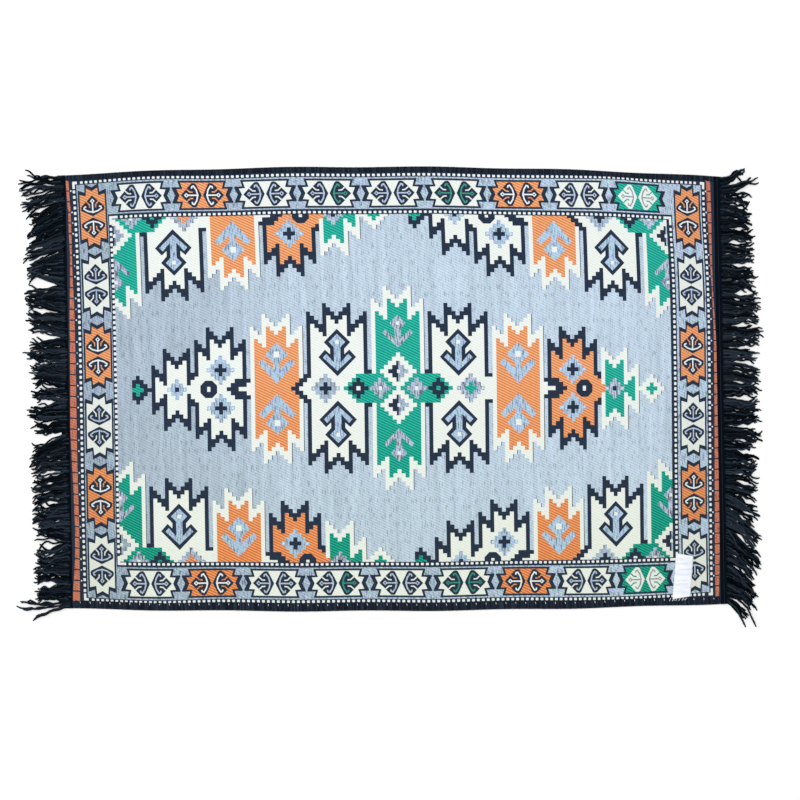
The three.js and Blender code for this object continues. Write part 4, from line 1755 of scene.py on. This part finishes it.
def make_label():
    """The tape as a thin closed sheet with its own coordinates along and across it."""
    lip = EDGE_FRONT + 0.3 - HALF_WIDTH
    foot, beside = laid(np.array([LABEL_AT, LABEL_AT + 1]), lip, 0.0)[:, :2] / MM
    along_lip = (beside - foot) / np.linalg.norm(beside - foot)
    up = np.array([LABEL_SLANT, 1]) / math.hypot(LABEL_SLANT, 1)
    across, along = np.meshgrid(np.linspace(0, 1, LABEL_COLUMNS), np.linspace(0, 1, LABEL_ROWS))
    long = LABEL_LONG[0] + across * (LABEL_LONG[1] - LABEL_LONG[0]) + LABEL_ON_EDGE
    run = along * long - LABEL_ON_EDGE + LABEL_FOOT_RISE * across * (1 - along)
    side = (across - 0.5) * LABEL_WIDTH
    flat = foot + side[..., None] * along_lip + run[..., None] * up
    under = label_height(across, along)
    layers = [np.dstack([flat, under + LABEL_THICK]), np.dstack([flat, under])]
    count = LABEL_ROWS * LABEL_COLUMNS
    number = np.arange(count).reshape(LABEL_ROWS, LABEL_COLUMNS)
    faces = []
    for row in range(LABEL_ROWS - 1):
        for n in range(LABEL_COLUMNS - 1):
            square = [number[row, n], number[row, n + 1], number[row + 1, n + 1], number[row + 1, n]]
            faces.append([int(a) for a in square])
            faces.append([int(a) + count for a in square[::-1]])
    rim = [*number[0], *number[1:, -1], *number[-1, -2::-1], *number[-2:0:-1, 0]]
    for a, b in zip(rim, rim[1:] + rim[:1]):
        faces.append([int(a), int(a) + count, int(b) + count, int(b)])
    mesh = bpy.data.meshes.new("satin_label")
    mesh.from_pydata((np.vstack([layer.reshape(-1, 3) for layer in layers]) * MM).tolist(), [], faces)
    add_map(mesh, "tape", np.column_stack([side.ravel(), run.ravel()]) * MM)
    mesh.polygons.foreach_set("use_smooth", [True] * len(faces))
    return mesh


def satin_tape():
    """White satin: fine threads across the tape, and faint blue bands of painted shade across it."""
    material, tree, shader = shader_of("satin_tape", roughness=0.42, sheen=0.1, specular=0.4)
    place = add(tree, "ShaderNodeUVMap", uv_map="tape").outputs[0]
    rows = add(tree, "ShaderNodeMapping", {"Vector": place, "Scale": SATIN_BANDS}).outputs[0]
    # Painted shade: noise bands across the tape blend in the bluer, darker colour.
    part = ramp(tree, noise(tree, rows, 1.0, 4.0), *SHADE_BAND_RAMP)
    tree.links.new(blend(tree, part, linear(SATIN), linear(SATIN_PAINTED_SHADE)), shader.inputs["Base Color"])
    threads = {"Vector": place, "Scale": SATIN_THREADS}
    height = add(tree, "ShaderNodeTexWave", threads, bands_direction="Y").outputs["Fac"]
    raised(tree, shader, height, strength=0.3, depth=0.1 * MM)
    return material


label_mesh = make_label()
label_mesh.materials.append(satin_tape())
satin_label = put_on_scene("satin_label", label_mesh)
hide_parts("care_label")
print("label:", len(label_mesh.polygons), "faces")

# %% [markdown]
# White thread shows in two places: seven slanted stitches that hold the label, and a row of small
# spaced stitches just inside the front edging. A seam of grey thread runs along the right heading.
# One tree makes all three: it steps along a guide line and sets a short arched stitch at each step.

# %% Stitches
STITCH_SHAPE = (-0.5, -0.3, 0.3, 0.5)
STITCH_STEPS = 8
THREAD_LAY = 2 * MM
STITCH_SWAY = 0.15
STITCH_LONG = (0.75, 1.1)
SEAM_POINTS = 60
SEAM_SIZES = ("Pitch", "Long", "Yarn", "Slant")
LABEL_SEAM = (5.0 * MM, 6.0 * MM, 1.0 * MM, -0.45)
FRONT_SEAM = (18.0 * MM, 3.2 * MM, 0.9 * MM, 0.25)
HEADING_SEAM = (3.4 * MM, 3.0 * MM, 0.8 * MM, math.pi / 2)
HEADING_SEAM_IN = 9.0


def build_stitches():
    """Short arched stitches set out along guide lines, each turned by Slant from across the line."""
    tree, given, lines = growth("spaced_stitches", ("Pitch", "Long", "Yarn", "Slant"), ("Seed",))
    sunk = calc(tree, "MULTIPLY", given["Yarn"], -0.5)
    places = [calc(tree, "MULTIPLY", given["Long"], share) for share in STITCH_SHAPE]
    heights = (sunk, given["Yarn"], given["Yarn"], sunk)
    arch = bent(tree, STITCH_STEPS, *zip(places, heights))
    return sewn_in_steps(tree, given, lines, arch, 1.0, given["Slant"], STITCH_SWAY, STITCH_LONG)


def thread_material(name, dye, roughness):
    """Sewing thread with its twist as a fine bump."""
    material, tree, shader = shader_of(name, roughness, specular=0.3)
    shader.inputs["Base Color"].default_value = linear(dye)
    raised(tree, shader, twist(tree, THREAD_LAY), strength=0.5, depth=0.15 * MM)
    return material


white_thread = thread_material("white_thread", (240, 236, 240), roughness=0.6)
grey_thread = thread_material("grey_thread", (34, 42, 52), roughness=0.7)
stitch_tree = build_stitches()


def front_line(ends, depths, heights):
    """A guide line beside the front edge. depths are distances from the edge."""
    u, depth, height = (np.linspace(*pair, SEAM_POINTS) for pair in (ends, depths, heights))
    return laid(u, depth - HALF_WIDTH, height * MM)


def sew(name, line, sizes, seed, thread):
    """Stitches along one guide line."""
    values = {**dict(zip(SEAM_SIZES, sizes)), "Seed": seed, "Material": thread}
    return put_on_scene(name, grow(name, [line], stitch_tree, values))


label_line = front_line(ends=(507, 539), depths=(11.6, 13.0), heights=(3.6, 4.4))
edge_line = front_line(ends=(-596, 596), depths=(11.6, 11.6), heights=(3.1, 3.1))
seam_top = (HEADING_TOP + HEADING_RIB) * MM
down_end = np.linspace(-HALF_WIDTH + 3, HALF_WIDTH - 3, 200)
heading_line = laid(np.full_like(down_end, HALF_LENGTH - HEADING_SEAM_IN), down_end, seam_top)
seams = [
    sew("label_stitches", label_line, LABEL_SEAM, 31, white_thread),
    sew("edging_stitches", edge_line, FRONT_SEAM, 32, white_thread),
    sew("heading_seam", heading_line, HEADING_SEAM, 41, grey_thread),
]
print("stitches:", [len(seam.data.polygons) for seam in seams], "faces")
